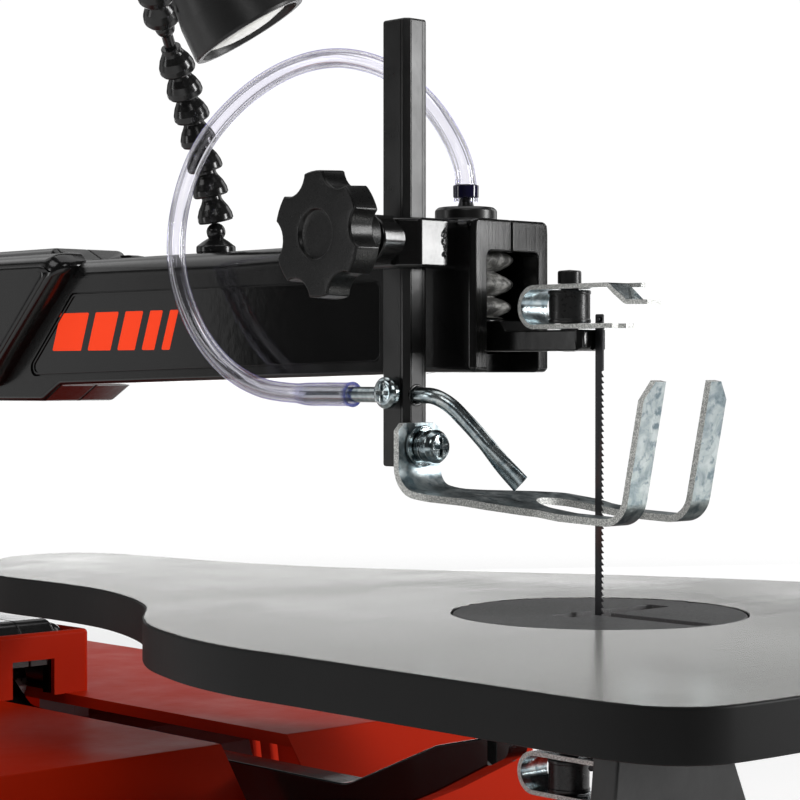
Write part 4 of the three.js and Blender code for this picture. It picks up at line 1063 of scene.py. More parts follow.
def frame_half(s):
    X = lambda a, b: (s * a, s * b)
    tags = []
    pts = rounded(LIMB, 6, tags=tags)
    lo, hi = X(0.15, 16)
    body = stack(pts, "x", lo, hi, ra=[0.45] * len(pts), rb=[float(t) for t in tags], seg=5)
    A, B = rounded(WIDE_A, 5), rounded(WIDE_B, 5)
    # both outlines resampled corner by corner, so that they match point for point
    def sampled(src):
        out = []
        n = len(src)
        for i in range(n):
            tri = rounded([src[i - 1][:2], src[i], src[(i + 1) % n][:2]], 5)
            arc = tri[1:-1]
            res = []
            for k in range(6):
                u = k / 5 * (len(arc) - 1)
                j = min(int(u), len(arc) - 2) if len(arc) > 1 else 0
                a, b = Vector(arc[j]), Vector(arc[min(j + 1, len(arc) - 1)])
                res.append(tuple(a.lerp(b, u - j)))
            out += res
        return out

    A, B = sampled(WIDE_A), sampled(WIDE_B)
    if area2(A) < 0:
        A, B = A[::-1], B[::-1]
    rings = [[PLACE["x"](p, s * 11.0) for p in A]]
    steps = [(0.0, 15.2), (0.02, 15.9)] + [(0.02 + 0.91 * (1 - math.cos(PI / 2 * k / 9)), 15.9 + 7.3 * math.sin(PI / 2 * k / 9)) for k in range(1, 10)]
    for u, x in steps:
        rings.append([PLACE["x"](tuple(Vector(a).lerp(Vector(b), u)), s * x) for a, b in zip(A, B)])
    last = [tuple(Vector(a).lerp(Vector(b), 0.93)) for a, b in zip(A, B)]
    crest = max(p[1] for p in last)
    for k in range(5):
        q = PI / 2 * k / 4
        d = (1 - math.cos(q)) * 2.2
        # the outline's own corners are close together up there, so no point may rise above the drawn-in crest
        off = [(p[0], min(p[1], crest - d)) for p in inset(last, d)]
        rings.append([PLACE["x"](p, s * (23.2 + 0.8 * math.sin(q))) for p in off])
    wide = rings_solid(rings)
    body = join(body, wide)
    tools = [
        stack(THIN, "x", *X(0.0, 12.6), over=1.0),
        stack(WIDE, "x", *X(0.0, 20), over=1.0),
        lathe([(0, 83), (14.6, 83), (14.6, 106.6), (0, 106.6)], 36).move(0, 53, 0),
        lathe([(0, 105), (7, 105), (7, 114), (0, 114)], 24).move(0, 53, 0),
    ]
    # opening in the front of the head, open at the bottom, its rim lightly rounded
    w = 11 if s > 0 else 10
    win = rounded([(s * -0.5, 62), (s * w, 62), (s * w, 102, 1.6), (s * -0.5, 102)], 5)
    tools.append(stack(win, "y", 34, 45, ra=-0.5, seg=3, over=0.6))
    body = cut_each(
        body,
        *tools,
        box(s * -0.5, s * 8.5, 280, 290, -62, -43) if s > 0 else box(-8.5, 0.5, 280, 290, -62, -43),
        lathe([(0, 100), (6, 100), (6, 114), (0, 114)], 24).move(0, ROD_Y, 0),
        stack(rounded([(73, 70, 3), (73, 94.7, 3), (233, 94.7, 3), (263.5, 65.2, 3)], 6), "x", s * 14.6, s * 17.5),
        *[stack(circle(2.5 if s < 0 else 5.2, 28, y, z), "x", s * (10 if s < 0 else 23.1), s * 27) for y, z in SCREWS],
    )
    # the front face of the head is dressed: its own finish
    out = []
    for i, q in enumerate(body.f):
        c = sum((body.v[j] for j in q), Vector()) / len(q)
        if abs(c.y - 34) < 0.05 and 60 < c.z < 112:
            body.m[i] = 1
    return body


def lug():
    """the ear on the left casting that carries the foot post, wrapped round it, with the boss for its knob"""
    plan = rounded([(-13.2, 41.4), (-19.6, 40.66, 3), (-30.2, 40.95, 2.6), (-35.2, 46.4, 4.5), (-35.2, 57, 4.5), (-30, 62, 5), (-13.2, 62)], 8)
    g = stack(plan, "z", 96.5, 111, ra=1.3, rb=1.1, seg=4)
    boss = along(lathe(soft([(0, 0), (7.0, 0), (7.0, 9.4), (0, 9.4)], 0.9, 4), 40), (-1, 0, 0)).move(-31.8, 51, 104.8)
    g = join(g, boss)
    g = cut(g, stack(rect(-31.15, -22.35, 45.55, 56.45, 1.2), "z", 95.5, 112), along(lathe([(0, 0), (3.4, 0), (3.4, 10), (0, 10)], 24), (-1, 0, 0)).move(-34, 51, 105.4))
    for i, q in enumerate(g.f):
        c = sum((g.v[j] for j in q), Vector()) / len(q)
        g.m[i] = 0
    return g


def pitted_patch():
    """rough casting skin left beside the lug's corner"""
    v, f = [], []
    nu, nv = 16, 44
    for j in range(nv + 1):
        for i in range(nu + 1):
            u, w = i / nu, j / nv
            x = -22.4 + 3.0 * u
            z = 98.6 + 11.0 * w
            e = max(0.0, 1 - abs(u * 2 - 1) ** 3) * max(0.0, 1 - abs(w * 2 - 1) ** 4)
            h = noise.noise(Vector((x * 0.9, 0.0, z * 0.75))) + 0.6 * noise.noise(Vector((x * 2.3, 4.0, z * 1.9)))
            y = 40.86 - e * (0.34 + 0.8 * max(-0.3, h)) + (1 - e) * 0.3
            v.append((x, y, z))
    for j in range(nv):
        for i in range(nu):
            a = j * (nu + 1) + i
            f.append([a, a + 1, a + nu + 2, a + nu + 1])
    n0 = len(v)
    rim = [i for i in range(nu + 1)] + [(j + 1) * (nu + 1) - 1 for j in range(1, nv + 1)] + [nv * (nu + 1) + i for i in range(nu - 1, -1, -1)] + [j * (nu + 1) for j in range(nv - 1, 0, -1)]
    for i in rim:
        p = v[i]
        v.append((p[0], p[1] + 1.4, p[2]))
    k = len(rim)
    for i in range(k):
        j = (i + 1) % k
        f.append([rim[i], n0 + i, n0 + j, rim[j]])
    f.append([n0 + i for i in range(k)])
    return G(v, f)


left = frame_half(-1)
piece("frame_left_casting", left, "root", ["enamel", "satin"], ["frame_half_left"], angle=32)
piece("foot_post_lug", lug(), "root", ["enamel"], angle=36)
piece("lug_casting_skin", pitted_patch(), "root", ["pitted"], angle=60, weighted=False)
piece("frame_right_casting", frame_half(1), "root", ["enamel", "satin"], ["frame_half_right"], angle=32)


def side_panel(s):
    outline = rounded([(73.4, 70.4, 2.8), (73.4, 94.3, 2.8), (232.8, 94.3, 2.8), (262.3, 65.8, 2.8)], 6)
    plate = stack(outline, "x", s * 14.75, s * 15.35, rb=0.2, seg=2)
    inner = inset(outline, 0.75)
    rim = stack(outline, "x", s * 15.2, s * 15.75, rb=0.22, seg=3)
    rim = cut(rim, stack(inner, "x", s * 14.9, s * 17))
    g = G().add(join(plate, rim))
    # plain slanted bars, the panel's decoration
    bars = []
    z0, z1 = 74.4, 87.6
    y = 246.0
    for k, (wd, gp) in enumerate([(17.5, 4.0), (13.5, 4.0), (10.0, 4.0), (7.0, 4.0), (4.5, 0)]):
        sl = 5.0
        bars.append([(y - wd - sl * 0, z0), (y, z0), (y - sl, z1), (y - wd - sl, z1)])
        y -= wd + gp
    for q in bars:
        g.add(stack(rounded([(a, b, 0.5) for a, b in q], 4), "x", s * 15.3, s * 15.42, rb=0.04, seg=1, m=1))
    return g


for s, nm in ((-1, "left"), (1, "right")):
    piece(f"label_panel_{nm}", side_panel(s), "root", ["panel", "bars"], [f"side_panel_{nm}"], angle=32)


def pan_head(r, h, star=True, depth=1.5, arm=0.56, under=0.0, shank_r=0.0, shank=0.0, fl=0.25):
    """pan head with its top at +h and its seat at 0, a shank going down from the seat"""
    prof = [(0, -shank), (shank_r, -shank), (shank_r, 0), (r, 0, 0.15), (r, h * fl + 0.25 * h, 0.9), (r * 0.78, h * 0.9, 1.6), (0, h)]
    if not shank:
        prof = [(0, 0)] + prof[3:]
    g = lathe(soft(prof, 0.25, 4), 44)
    if star:
        g = cut(g, cross_cutter(depth, r * arm, r * 0.135).move(0, 0, h * 0.97))
        g = bevel(g, 0.09, 2, 40)
    return g


for i, (y, z) in enumerate(SCREWS):
    g = along(pan_head(4.1, 2.5, depth=1.3, shank_r=2.1, shank=34), (1, 0, 0)).move(23.4, y, z)
    piece(f"housing_screw_{i + 1}", g, "root", ["zinc_fine"], [f"frame_screw_{i + 1}"], angle=36)

# cap over the bellows and the bellows itself
cap = soft([(1.4, -4.6), (6.4, -4.6), (6.4, 0.3), (10.4, 0.3, 0.2), (10.4, 0.75, 0.3), (9.2, 0.95, 0.15), (9.2, 3.6, 1.0), (8.2, 4.5, 0.9), (2.5, 4.7, 0.4), (2.1, 6.0, 0.4), (2.1, 9.4), (1.4, 9.4), (1.4, -4.6)], 0.3, 5)
piece("bellows_cover_cap", lathe(cap, 56).move(0, 53, HEAD_TOP), "root", ["black_oxide"], ["bellows_cap"], angle=36)
stem_sleeve = soft([(2.15, 7.2), (3.75, 7.3, 0.4), (3.8, 11.1, 0.4), (2.9, 11.3), (2.2, 11.2), (2.15, 7.2)], 0.25, 4)
piece("hose_end_sleeve", lathe(stem_sleeve, 40).move(0, 53, HEAD_TOP), "root", ["dark_end"], angle=36)


def bellows():
    pts = [(11.4, 0.1)]
    crests = [(0.4, 6.2, 13.5), (6.6, 13.4, 13.9), (13.8, 20.6, 13.9)]
    for a, b, rc in crests:
        for k in range(15):
            u = k / 14
            r = 9.0 + (rc - 9.0) * math.sin(PI * u) ** 0.86
            pts.append((r, a + (b - a) * u))
    pts.append((10.4, 21.0))
    pts.append((12.2, 23.2))
    pts.append((12.2, 23.5))
    inner = [(r - 1.2, z) for r, z in pts][::-1]
    g = lathe(pts + inner + [pts[0]], 72)
    for p in g.v:
        d = noise.noise(p * 0.35) * 0.28 + noise.noise(p * 1.1) * 0.1
        q = Vector((p.x, p.y, 0))
        if q.length > 0.1:
            p += q.normalized() * d
            p.z += d * 0.5
    return g.move(0, 53, 82.9)


bel = piece("bellows_rubber", bellows(), "root", ["rubber"], ["bellows"], angle=75, weighted=False)
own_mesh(bel)

# -------------------------------------------------------------------- arms
def cyl_x(r, x0, x1, y, z, n=40, e=0.5):
    g = along(lathe(soft([(0, 0), (r, 0, e), (r, abs(x1 - x0), e), (0, abs(x1 - x0))], e, 3), n), (1 if x1 > x0 else -1, 0, 0))
    return g.move(x0, y, z)


def upper_arm():
    outline = rounded([(2, 74, 1.6), (2, 79.0, 1.0), (31, 79, 0.8), (33, 82, 1), (92, 82, 6), (150, 87, 20), (300, 89, 20), (416, 91, 8), (440, 91, 8), (468, 84, 4), (468, 71, 4), (440, 65, 8), (416, 65, 8), (250, 70, 20), (100, 73, 10), (4, 73, 1.4)], 5)
    bar = stack(outline, "x", -6, 6, ra=0.6, rb=0.6, seg=3)
    # the nose is rounded in plan
    nose = rounded([(-6.3, -6), (6.3, -6), (6.3, 1.9), (6.3, 60), (-6.3, 60), (-6.3, 1.9)], 4)
    plan = rounded([(-6.1, 2, 2.6), (6.1, 2, 2.6), (6.1, 480), (-6.1, 480)], 6)
    bar = common(bar, stack(plan, "z", 50, 110))
    pad = lathe(soft([(0, 79.5), (12.3, 79.5), (12.3, 82.6), (0, 82.6)], 0.5, 3), 40).move(0, 53, 0)
    hub = cyl_x(13, -8.5, 8.5, PIVOT_Y, 78)
    g = join(bar, pad, hub)
    g = cut(g, cyl_x(8.4, -12, 12, PIVOT_Y, 78, 32, 0), lathe([(0, 60), (3, 60), (3, 90), (0, 90)], 24).move(0, 11.4, 0), lathe([(0, 50), (4, 50), (4, 110), (0, 110)], 24).move(0, ROD_Y, 0), box(-1.1, 1.1, 0, 3.6, 60, 90))
    return g


def lower_arm():
    outline = rounded([(2, -39.6, 1.2), (2, -36.9, 0.8), (30, -36.9, 0), (60, -44, 8), (100, -61, 14), (262, -61, 14), (292, -58.5, 8), (316, -41, 8), (418, -37, 8), (442, -37, 8), (468, -41, 4), (468, -54, 4), (442, -60, 8), (418, -60, 8), (330, -54, 10), (300, -68, 12), (262, -75, 14), (100, -75, 20), (60, -58, 10), (32, -44.2, 3), (31, -40.4, 0), (4, -40.4, 0.8)], 5)
    bar = stack(outline, "x", -6, 6, ra=0.6, rb=0.6, seg=3)
    bar = cut(bar, box(4, 8, -5, 38, -70, -20), box(-8, -4, -5, 38, -70, -20))
    g = join(bar, cyl_x(12.3, -8.5, 8.5, PIVOT_Y, -47), cyl_x(3, 5, 13.4, 312, -52, 28))
    return cut(g, cyl_x(8.4, -12, 12, PIVOT_Y, -47, 32, 0), lathe([(0, -60), (3, -60), (3, -20), (0, -20)], 24).move(0, 11.4, 0), lathe([(0, -80), (4, -80), (4, -20), (0, -20)], 24).move(0, ROD_Y, 0), box(-1.1, 1.1, 0, 3.6, -50, -30))


piece("upper_arm_casting", upper_arm(), "upper_arm", ["enamel"], ["upper_rocker_arm"], angle=36)
piece("lower_arm_casting", lower_arm(), "lower_arm", ["enamel"], ["lower_rocker_arm"], angle=36)

# ------------------------------------------------------------ blade holders
HOLD = [(-8.2, 79.95), (22.4, 79.95, 5.5), (28.2, 85.6, 5.5), (22.4, 91.15, 5.5), (-7.7, 91.15, 2), (-13.7, 86.4, 2), (-20.5, 86.2)]


def holder():
    strip = stack(band(HOLD, 1.3, 12), "x", -5.5, 5.5)
    # plan of the strip: the upper tongue narrows after the joggle, the lower end is two fingers
    up = rounded([(-5.6, -9.4, 1.5), (-3.7, -21, 1.1), (2.2, -21, 1.1), (2.7, -10.2, 0.8), (2.7, -7.3, 0.4), (5.6, -6.9, 0.8), (5.6, 40), (-5.6, 40)], 5)
    low = rounded([(-5.6, -6.6, 1.0), (-4.0, -8.3, 0.8), (-1.4, -8.3, 0.6), (-0.8, -5, 0.2), (-0.8, 2.6, 0.5), (0.8, 2.6, 0.5), (0.8, -5.5, 0.2), (2.0, -9.0, 0.7), (5.0, -9.0, 0.7), (5.6, -6.9, 0.6), (5.6, 40), (-5.6, 40)], 4)
    top = common(strip, stack(up, "z", 85.3, 95))
    bot = common(strip, stack(low, "z", 70, 85.3))
    g = join(top, bot)
    g = cut(g, lathe([(0, 70), (3, 70), (3, 100), (0, 100)], 28).move(0, 11.4, 0))
    finger = stack(rounded([(3.2, -5.5), (3.2, -12.2, 0.6), (5.5, -12.2, 0.6), (5.5, -5.5)], 4), "z", 90.55, 91.8)
    g = join(g, finger)
    g = bevel(g, 0.13, 2, 38)
    for i, q in enumerate(g.f):
        vs = [g.v[j] for j in q]
        nrm = (vs[1] - vs[0]).cross(vs[2] - vs[0])
        nrm = nrm.normalized() if nrm.length > 1e-9 else Vector((0, 0, 1))
        c = sum(vs, Vector()) / len(vs)
        if abs(nrm.x) > 0.35 or (c.y < -5 and abs(nrm.z) < 0.3 and abs(nrm.y) > 0.8):
            g.m[i] = 1
    return g


h_up = holder()
piece("upper_blade_clip", h_up, "upper_arm", ["zinc", "sheared"], ["upper_blade_holder"], angle=40)
h_low = h_up.copy().tf(Matrix(((1, 0, 0, 0), (0, 1, 0, 0), (0, 0, -1, 38.6), (0, 0, 0, 1))))
piece("lower_blade_clip", h_low, "lower_arm", ["zinc", "sheared"], ["lower_blade_holder"], angle=40)


def spacer():
    return lathe(soft([(3, 0), (6.05, 0, 0.35), (6.05, 1.0, 0.1), (5.85, 1.2, 0.1), (5.85, 8.1, 0.1), (6.05, 8.3, 0.1), (6.05, 9.3, 0.35), (3, 9.3), (3, 0)], 0.2, 2), 48)


piece("upper_clip_spacer", spacer().move(0, 11.4, 80.9), "upper_arm", ["spacer"], ["upper_holder_spacer"], angle=36)
piece("lower_clip_spacer", spacer().move(0, 11.4, 38.6 - 90.2), "lower_arm", ["spacer"], ["lower_holder_spacer"], angle=36)
pin = [(0, 73.4), (2.5, 73.4, 0.3), (2.5, 92.1, 0), (3.35, 92.1, 0.1), (3.35, 95.7, 0.55), (0, 96)]
pin_g = lathe(soft(pin, 0.3, 4), 40)
pin_g = join(pin_g, lathe(soft([(0, 74.1), (1.9, 74.1), (1.9, 72.9), (0, 72.9)][::-1], 0.3, 3), 24))
piece("upper_clip_pin", pin_g.copy().move(0, 11.4, 0), "upper_arm", ["black_oxide"], ["upper_holder_pin"], angle=36)
piece("lower_clip_pin", lathe(soft([(0, -57.4), (3.35, -57.1, 0.55), (3.35, -53.5, 0.1), (2.5, -53.5, 0), (2.5, -36.6, 0.3), (0, -36.6)], 0.3, 4), 40).move(0, 11.4, 0), "lower_arm", ["black_oxide"], ["lower_holder_pin"], angle=36)


# -------------------------------------------------------------------- blade
def blade():
    top, bottom, h, pitch = 83.3, -44.2, 1.4, 1.693
    back = [(h, bottom), (h, top - 0.3), (h - 0.3, top), (-h + 0.3, top), (-h, top - 0.3)]
    pts = list(back)
    z = 67.4
    pts.append((-h, z + 0.2))
    k = 0
    while z - pitch > -25.2:
        # each tooth points down: a steep front under a sloping back
        pts += [(-h + 0.72, z - 0.10), (-h + 0.80, z - 0.42), (-h + 0.48, z - 0.95), (-h - 0.03, z - pitch + 0.16), (-h + 0.02, z - pitch)]
        z -= pitch
        k += 1
    pts += [(-h, z - 0.25), (-h, bottom)]
    if area2(pts) < 0:
        pts = pts[::-1]
    g = stack(pts, "x", -0.25, 0.25)
    # alternate teeth set to each side
    for p in g.v:
        if p.y < -h + 0.35 and -25.5 < p.z < 67:
            t = int(math.floor((67.4 - p.z) / pitch + 0.05))
            p.x += (0.13 if t % 2 else -0.13)
    g.add(cyl_x(0.75, -1.1, 1.1, 0, 81.8, 20, 0.15), cyl_x(0.9, -3.6, 3.6, 0, -43.2, 20, 0.15))
    return g


piece("blade", blade(), "blade", ["blade"], ["saw_blade"], angle=30, weighted=False, tidy=True)


# -------------------------------------------------------------------- knobs
def lobe_outline(n, ro, ri, half_deg, seg_o=5, seg_i=9, soft_r=0.5):
    """flat-ended lobes with scooped gaps between them"""
    a = math.radians(half_deg)
    gap = PI / n
    # circle that scoops the gap: through both lobe corners and the lowest point
    cx, cy = ro * math.cos(gap - a), ro * math.sin(gap - a)
    # centre on the gap's line at distance D, radius rs = D - ri
    D = (cx * cx + cy * cy - ri * ri) / (2 * (cx - ri))
    rs = D - ri
    e = math.atan2(cy, D - cx)
    pts = []
    for k in range(n):
        c = 2 * PI * k / n
        for i in range(seg_o + 1):
            q = c - a + 2 * a * i / seg_o
            pts.append((ro * math.cos(q), ro * math.sin(q)))
        g = c + gap
        for i in range(1, seg_i):
            t = -e + 2 * e * i / seg_i
            px, py = D - rs * math.cos(t), rs * math.sin(t)
            pts.append((px * math.cos(g) - py * math.sin(g), px * math.sin(g) + py * math.cos(g)))
    # soften the corners a little
    out = []
    m = len(pts)
    for i in range(m):
        p, u, v = Vector(pts[i]), Vector(pts[i - 1]), Vector(pts[(i + 1) % m])
        d0, d1 = (p - u).normalized(), (v - p).normalized()
        if d0.dot(d1) < math.cos(math.radians(28)):
            s = min(soft_r, (p - u).length * 0.45, (v - p).length * 0.45)
            w0, w1 = p - d0 * s, p + d1 * s
            for k in range(4):
                t = k / 3
                out.append(tuple(w0 * (1 - t) ** 2 + p * (2 * t * (1 - t)) + w1 * t * t))
        else:
            out.append(tuple(p))
    return out


def lobe_knob(n, ro, ri, half_deg, z0, z1, phase, face=0.7, back=0.5, dish_r=7.0, dish_d=0.9, taper=0.35):
    out = lobe_outline(n, ro, ri, half_deg)
    out = [(x * math.cos(phase) - y * math.sin(phase), x * math.sin(phase) + y * math.cos(phase)) for x, y in out]
    m = len(out)
    rings = []
    for t, d in ((z0, back), (z0 + back * 0.3, back * 0.3), (z0 + back, 0.0)):
        rings.append([Vector((x, y, t)) for x, y in inset(out, d)])
    rings.append([Vector((x, y, (z0 + z1) / 2)) for x, y in inset(out, taper * 0.5)])
    for k in range(5):
        q = PI / 2 * k / 4
        rings.append([Vector((x, y, z1 - face + face * math.sin(q))) for x, y in inset(out, taper + face * (1 - math.cos(q)))])
    # face: rings shrinking to the dish, the dish itself, slightly crowned
    last = [(p.x, p.y) for p in rings[-1]]
    for u in (0.2, 0.45, 0.7, 0.9):
        ring = []
        for x, y in last:
            r = math.hypot(x, y)
            rr = r + (dish_r + 0.75 - r) * u
            ring.append(Vector((x / r * rr, y / r * rr, z1 + 0.10 * math.sin(u * PI * 0.5))))
        rings.append(ring)
    for rr, dz in ((dish_r + 0.45, 0.1), (dish_r + 0.18, 0.02), (dish_r, -0.16), (dish_r - 0.16, -0.38), (dish_r - 0.4, -dish_d * 0.8), (dish_r - 0.9, -dish_d), (dish_r * 0.6, -dish_d), (dish_r * 0.25, -dish_d * 0.96)):
        rings.append([Vector((x / math.hypot(x, y) * rr, y / math.hypot(x, y) * rr, z1 + dz)) for x, y in last])
    return rings_solid(rings)


KNOB_TURN = math.radians(-8)


def foot_knob():
    g = lobe_knob(6, 18.0, 14.7, 13.5, 11.0, 19.3, 0.2 + KNOB_TURN)
    hub = lathe(soft([(0, 0), (6.2, 0, 0.3), (7.4, 1.2, 0.6), (7.7, 9.5, 1.0), (9.6, 11.4, 0.4), (0, 11.4)], 0.4, 4), 44)
    stud = lathe(soft([(0, -9.7), (3, -9.7, 0.4), (3, 0.4, 0.1), (0, 0.4)], 0.3, 3), 28)
    g.add(hub, stud)
    return along(g, (-1, 0, 0))


def spin_to(g, axis, turn):
    return g.tf(Matrix.Rotation(turn, 4, Vector(axis)))


KNOB = foot_knob()
piece("foot_clamp_knob", KNOB.move(-41.4, 51, 105.4), "foot_knob", ["knob"], ["foot_lock_knob"], angle=33)

# -------------------------------------------------------- foot post and tube
def foot_post():
    plan = rounded([(-29.5, 45.7, 0.25), (-23.4, 45.7, 0.3), (-22.5, 46.6, 0.3), (-22.5, 55.4, 0.3), (-23.4, 56.3, 0.3), (-30.1, 56.3, 0.3), (-31.0, 55.4, 0.3), (-31.0, 47.2, 0.25)], 2)
    # shallow draw lines run down the front face and the left face
    g = stack(plan, "z", 40, 168, ra=0.8, rb=0.8, seg=3)
    g = cut(g, box(-29.2, -28.95, 45.5, 45.84, 30, 180), box(-31.2, -30.86, 48.0, 48.2, 30, 180), box(-24.9, -24.7, 45.5, 45.82, 30, 180))
    g = cut(g, along(lathe([(0, 0), (3, 0), (3, 20), (0, 20)], 28), (0, 1, 0)).move(-27, 40, 60.5), cyl_x(2.1, -35, -27, 51, 60.5, 24, 0), along(lathe([(0, 0), (2.8, 0), (2.8, 13.5), (0, 13.5)], 24), (0, 1, 0)).move(-27.5, 40, 46))
    return g


piece("foot_support_post", foot_post(), "foot_post", ["post"], ["foot_post"], angle=32)


def cast_marks():
    """raised arcs left in the post's side by its mould"""
    g = G()
    for zc, k in ((86.2, 0.9), (80.0, 0.8), (74.0, 0.75), (103.5 + 33, 0.7)):
        pts = [Vector((-30.98, 50.6 + 1.5 * math.cos(q), zc + 1.9 * math.sin(q))) for q in [PI * (0.62 + 0.75 * i / 10 * k) for i in range(11)]]
        g.add(tube(pts, lambda i, u: [(0.09 * math.cos(a), 0.13 * math.sin(a)) for a in [2 * PI * j / 6 for j in range(6)]], up=(1, 0, 0)))
    return g


piece("post_mould_marks", cast_marks(), "foot_post", ["post"], angle=60, weighted=False)

TUBE = [(-27, 95, 60.5), (-27, 75, 60.5), (-27, 56, 60.5), (-27, 43.5, 60.5), (-26.6, 38.5, 60.1), (-24.4, 35, 57.9), (-21.6, 31.6, 53.6), (-18.4, 27.3, 47.7), (-15.6, 23.1, 41.5), (-12.6, 18.45, 35.5)]


def blower():
    line = catmull(TUBE, 110)
    n, k = len(line), 32
    fr = frames(line, (1, 0, 0))
    total = length_of(line)
    dist = [0.0]
    for i in range(1, n):
        dist.append(dist[-1] + (line[i] - line[i - 1]).length)
    t, a, b = fr[-1]
    view = Vector((0.66, 0.75, -0.03))
    view = (view - t * view.dot(t)).normalized()
    phi = math.atan2(view.dot(b), view.dot(a)) - PI / 2 + 0.35
    cs, sn = math.cos(phi), math.sin(phi)
    v, f = [], []
    for shell in (0, 1):
        for i, p in enumerate(line):
            t, a, b = fr[i]
            w = max(0.0, min(1.0, (dist[i] - (total - 15)) / 15))
            w = w ** 1.5 * (2.5 - 1.5 * w)
            for j in range(k):
                q = 2 * PI * j / k
                r = 2.3 - (0.55 if shell else 0)
                x, y = r * math.cos(q), r * math.sin(q)
                # the end is pressed flat, one side folded in
                fx = x * (1 + 0.30 * w)
                fy = y * (1 - (0.62 if not shell else 0.80) * w)
                fy += w * 0.75 * max(0.0, fx / 3.0) ** 1.3
                jag = 0.0
                if i == n - 1:
                    jag = 0.06 * fx + 0.12 * noise.noise(Vector((fx, fy * 3, 7)))
                v.append(p + a * (fx * cs - fy * sn) + b * (fx * sn + fy * cs) + t * jag)
    for i in range(n - 1):
        for j in range(k):
            c = (j + 1) % k
            o = n * k
            f.append([i * k + j, i * k + c, (i + 1) * k + c, (i + 1) * k + j])
            f.append([o + i * k + j, o + (i + 1) * k + j, o + (i + 1) * k + c, o + i * k + c])
    for i in (0, n - 1):
        for j in range(k):
            c = (j + 1) % k
            f.append([i * k + j, n * k + i * k + j, n * k + i * k + c, i * k + c])
    return G(v, f)


piece("blower_pipe", blower(), "foot_post", ["tube"], ["blower_tube"], angle=50, weighted=False)
piece("tube_clamp_screw", along(pan_head(4.6, 2.9, depth=1.5, shank_r=1.9, shank=4.0), (-1, 0, 0)).move(-33.0, 51, 61.2), "foot_post", ["zinc_fine"], ["tube_set_screw"], angle=36)


def pin_round_entry():
    """worn ring round the pipe's way out of the post, in the pitted casting finish"""
    return along(lathe(soft([(2.45, 0), (3.25, 0, 0.1), (3.1, 0.3, 0.1), (2.5, 0.35), (2.45, 0)], 0.08, 2), 32), (0, -1, 0)).move(-27, 45.7, 60.5)


piece("pipe_hole_rim", pin_round_entry(), "foot_post", ["pitted"], angle=60, weighted=False)

# ------------------------------------------------------------ hold-down foot
FOOT = [(44.6, 52.7), (44.6, 33.4, 8), (24, 30.9, 10), (10, 28.3, 20), (0, 27.2, 20), (-23.2, 26.5, 7.5), (-31.1, 64.8)]


def foot():
    prof = stack(band(FOOT, 2.0, 14), "x", -36, 17.2)
    plan = rounded([(-36, 48), (-36, 33, 6), (-26.5, 19, 4), (-17.2, 8, 6), (-17.2, -36), (17.2, -36), (17.2, 16, 6), (12, 25.5, 6), (4, 30, 8), (-10, 35.2, 6), (-19.7, 41, 2), (-19.7, 48)], 7)
    gap = [(-9.4, -40), (9.4, -40)] + [(9.4 * math.cos(PI * i / 24) - 1.2 * math.sin(PI * i / 24), 7.5 + 13.0 * math.sin(PI * i / 24)) for i in range(25)]
    g = common(prof, stack(plan, "z", 10, 80))
    g = cut(g, stack(gap, "z", 10, 80), along(lathe([(0, 0), (2.8, 0), (2.8, 10), (0, 10)], 28), (0, 1, 0)).move(-27.5, 40, 46))
    g = cut(
        g,
        stack([(-18.4, 58.0), (-12.6, 66.2), (-18.4, 67)], "y", -40, -22),
        stack([(18.4, 58.0), (12.6, 66.2), (18.4, 67)], "y", -40, -22),
        stack([(-37, 49.5), (-33, 53.7), (-37, 54)], "y", 40, 48),
        stack([(-18.7, 49.5), (-18.7, 54), (-22.7, 53.7)], "y", 40, 48),
    )
    g = bevel(g, 0.16, 2, 40)
    for i, q in enumerate(g.f):
        vs = [g.v[j] for j in q]
        nrm = Vector()
        for j in range(len(vs)):
            a, b = vs[j], vs[(j + 1) % len(vs)]
            nrm += a.cross(b)
        nrm = nrm.normalized() if nrm.length > 1e-9 else Vector((0, 0, 1))
        c = sum(vs, Vector()) / len(vs)
        if abs(nrm.x) > 0.3:
            g.m[i] = 1
        elif abs(nrm.z) < 0.25 and abs(nrm.y) > 0.3 and 8 < c.y < 41:
            g.m[i] = 1
        elif c.z > 63 and nrm.z > 0.5:
            g.m[i] = 1
        elif c.z > 50 and c.y > 40 and abs(nrm.y) < 0.5:
            g.m[i] = 1
    return g


piece("hold_down_fork", foot(), "foot", ["zinc_fork", "sheared"], ["hold_down_foot"], angle=40)
flat_w = along(lathe(soft([(2.7, 0), (6, 0, 0.15), (6, 1.1, 0.25), (2.7, 1.1), (2.7, 0)], 0.1, 3), 44), (0, -1, 0)).move(-27.5, 43.3, 46)
piece("foot_plain_washer", flat_w, "foot_post", ["zinc_fine"], ["foot_flat_washer"], angle=36)


def spring_washer():
    pts = [Vector((-27.5 + 3.65 * math.cos(q), 41.9 - 1.0 - 0.42 + 0.84 * (i / 60), 46 + 3.65 * math.sin(q))) for i, q in enumerate([0.5 + (2 * PI - 0.16) * j / 60 for j in range(61)])]
    sq = [(-0.78, -0.92), (0.78, -0.92), (0.92, -0.78), (0.92, 0.78), (0.78, 0.92), (-0.78, 0.92), (-0.92, 0.78), (-0.92, -0.78)]
    return tube(pts, lambda i, u: sq, up=(0, 1, 0))


piece("foot_lock_washer", spring_washer(), "foot_post", ["zinc_fine"], ["foot_spring_washer"], angle=36)
piece("foot_fixing_screw", along(pan_head(4.8, 4.6, depth=2.0, arm=0.6, shank_r=2.4, shank=12.5, fl=0.3), (0, -1, 0)).move(-27.5, 39.5, 46), "foot_post", ["zinc_fine"], ["foot_screw"], angle=36)

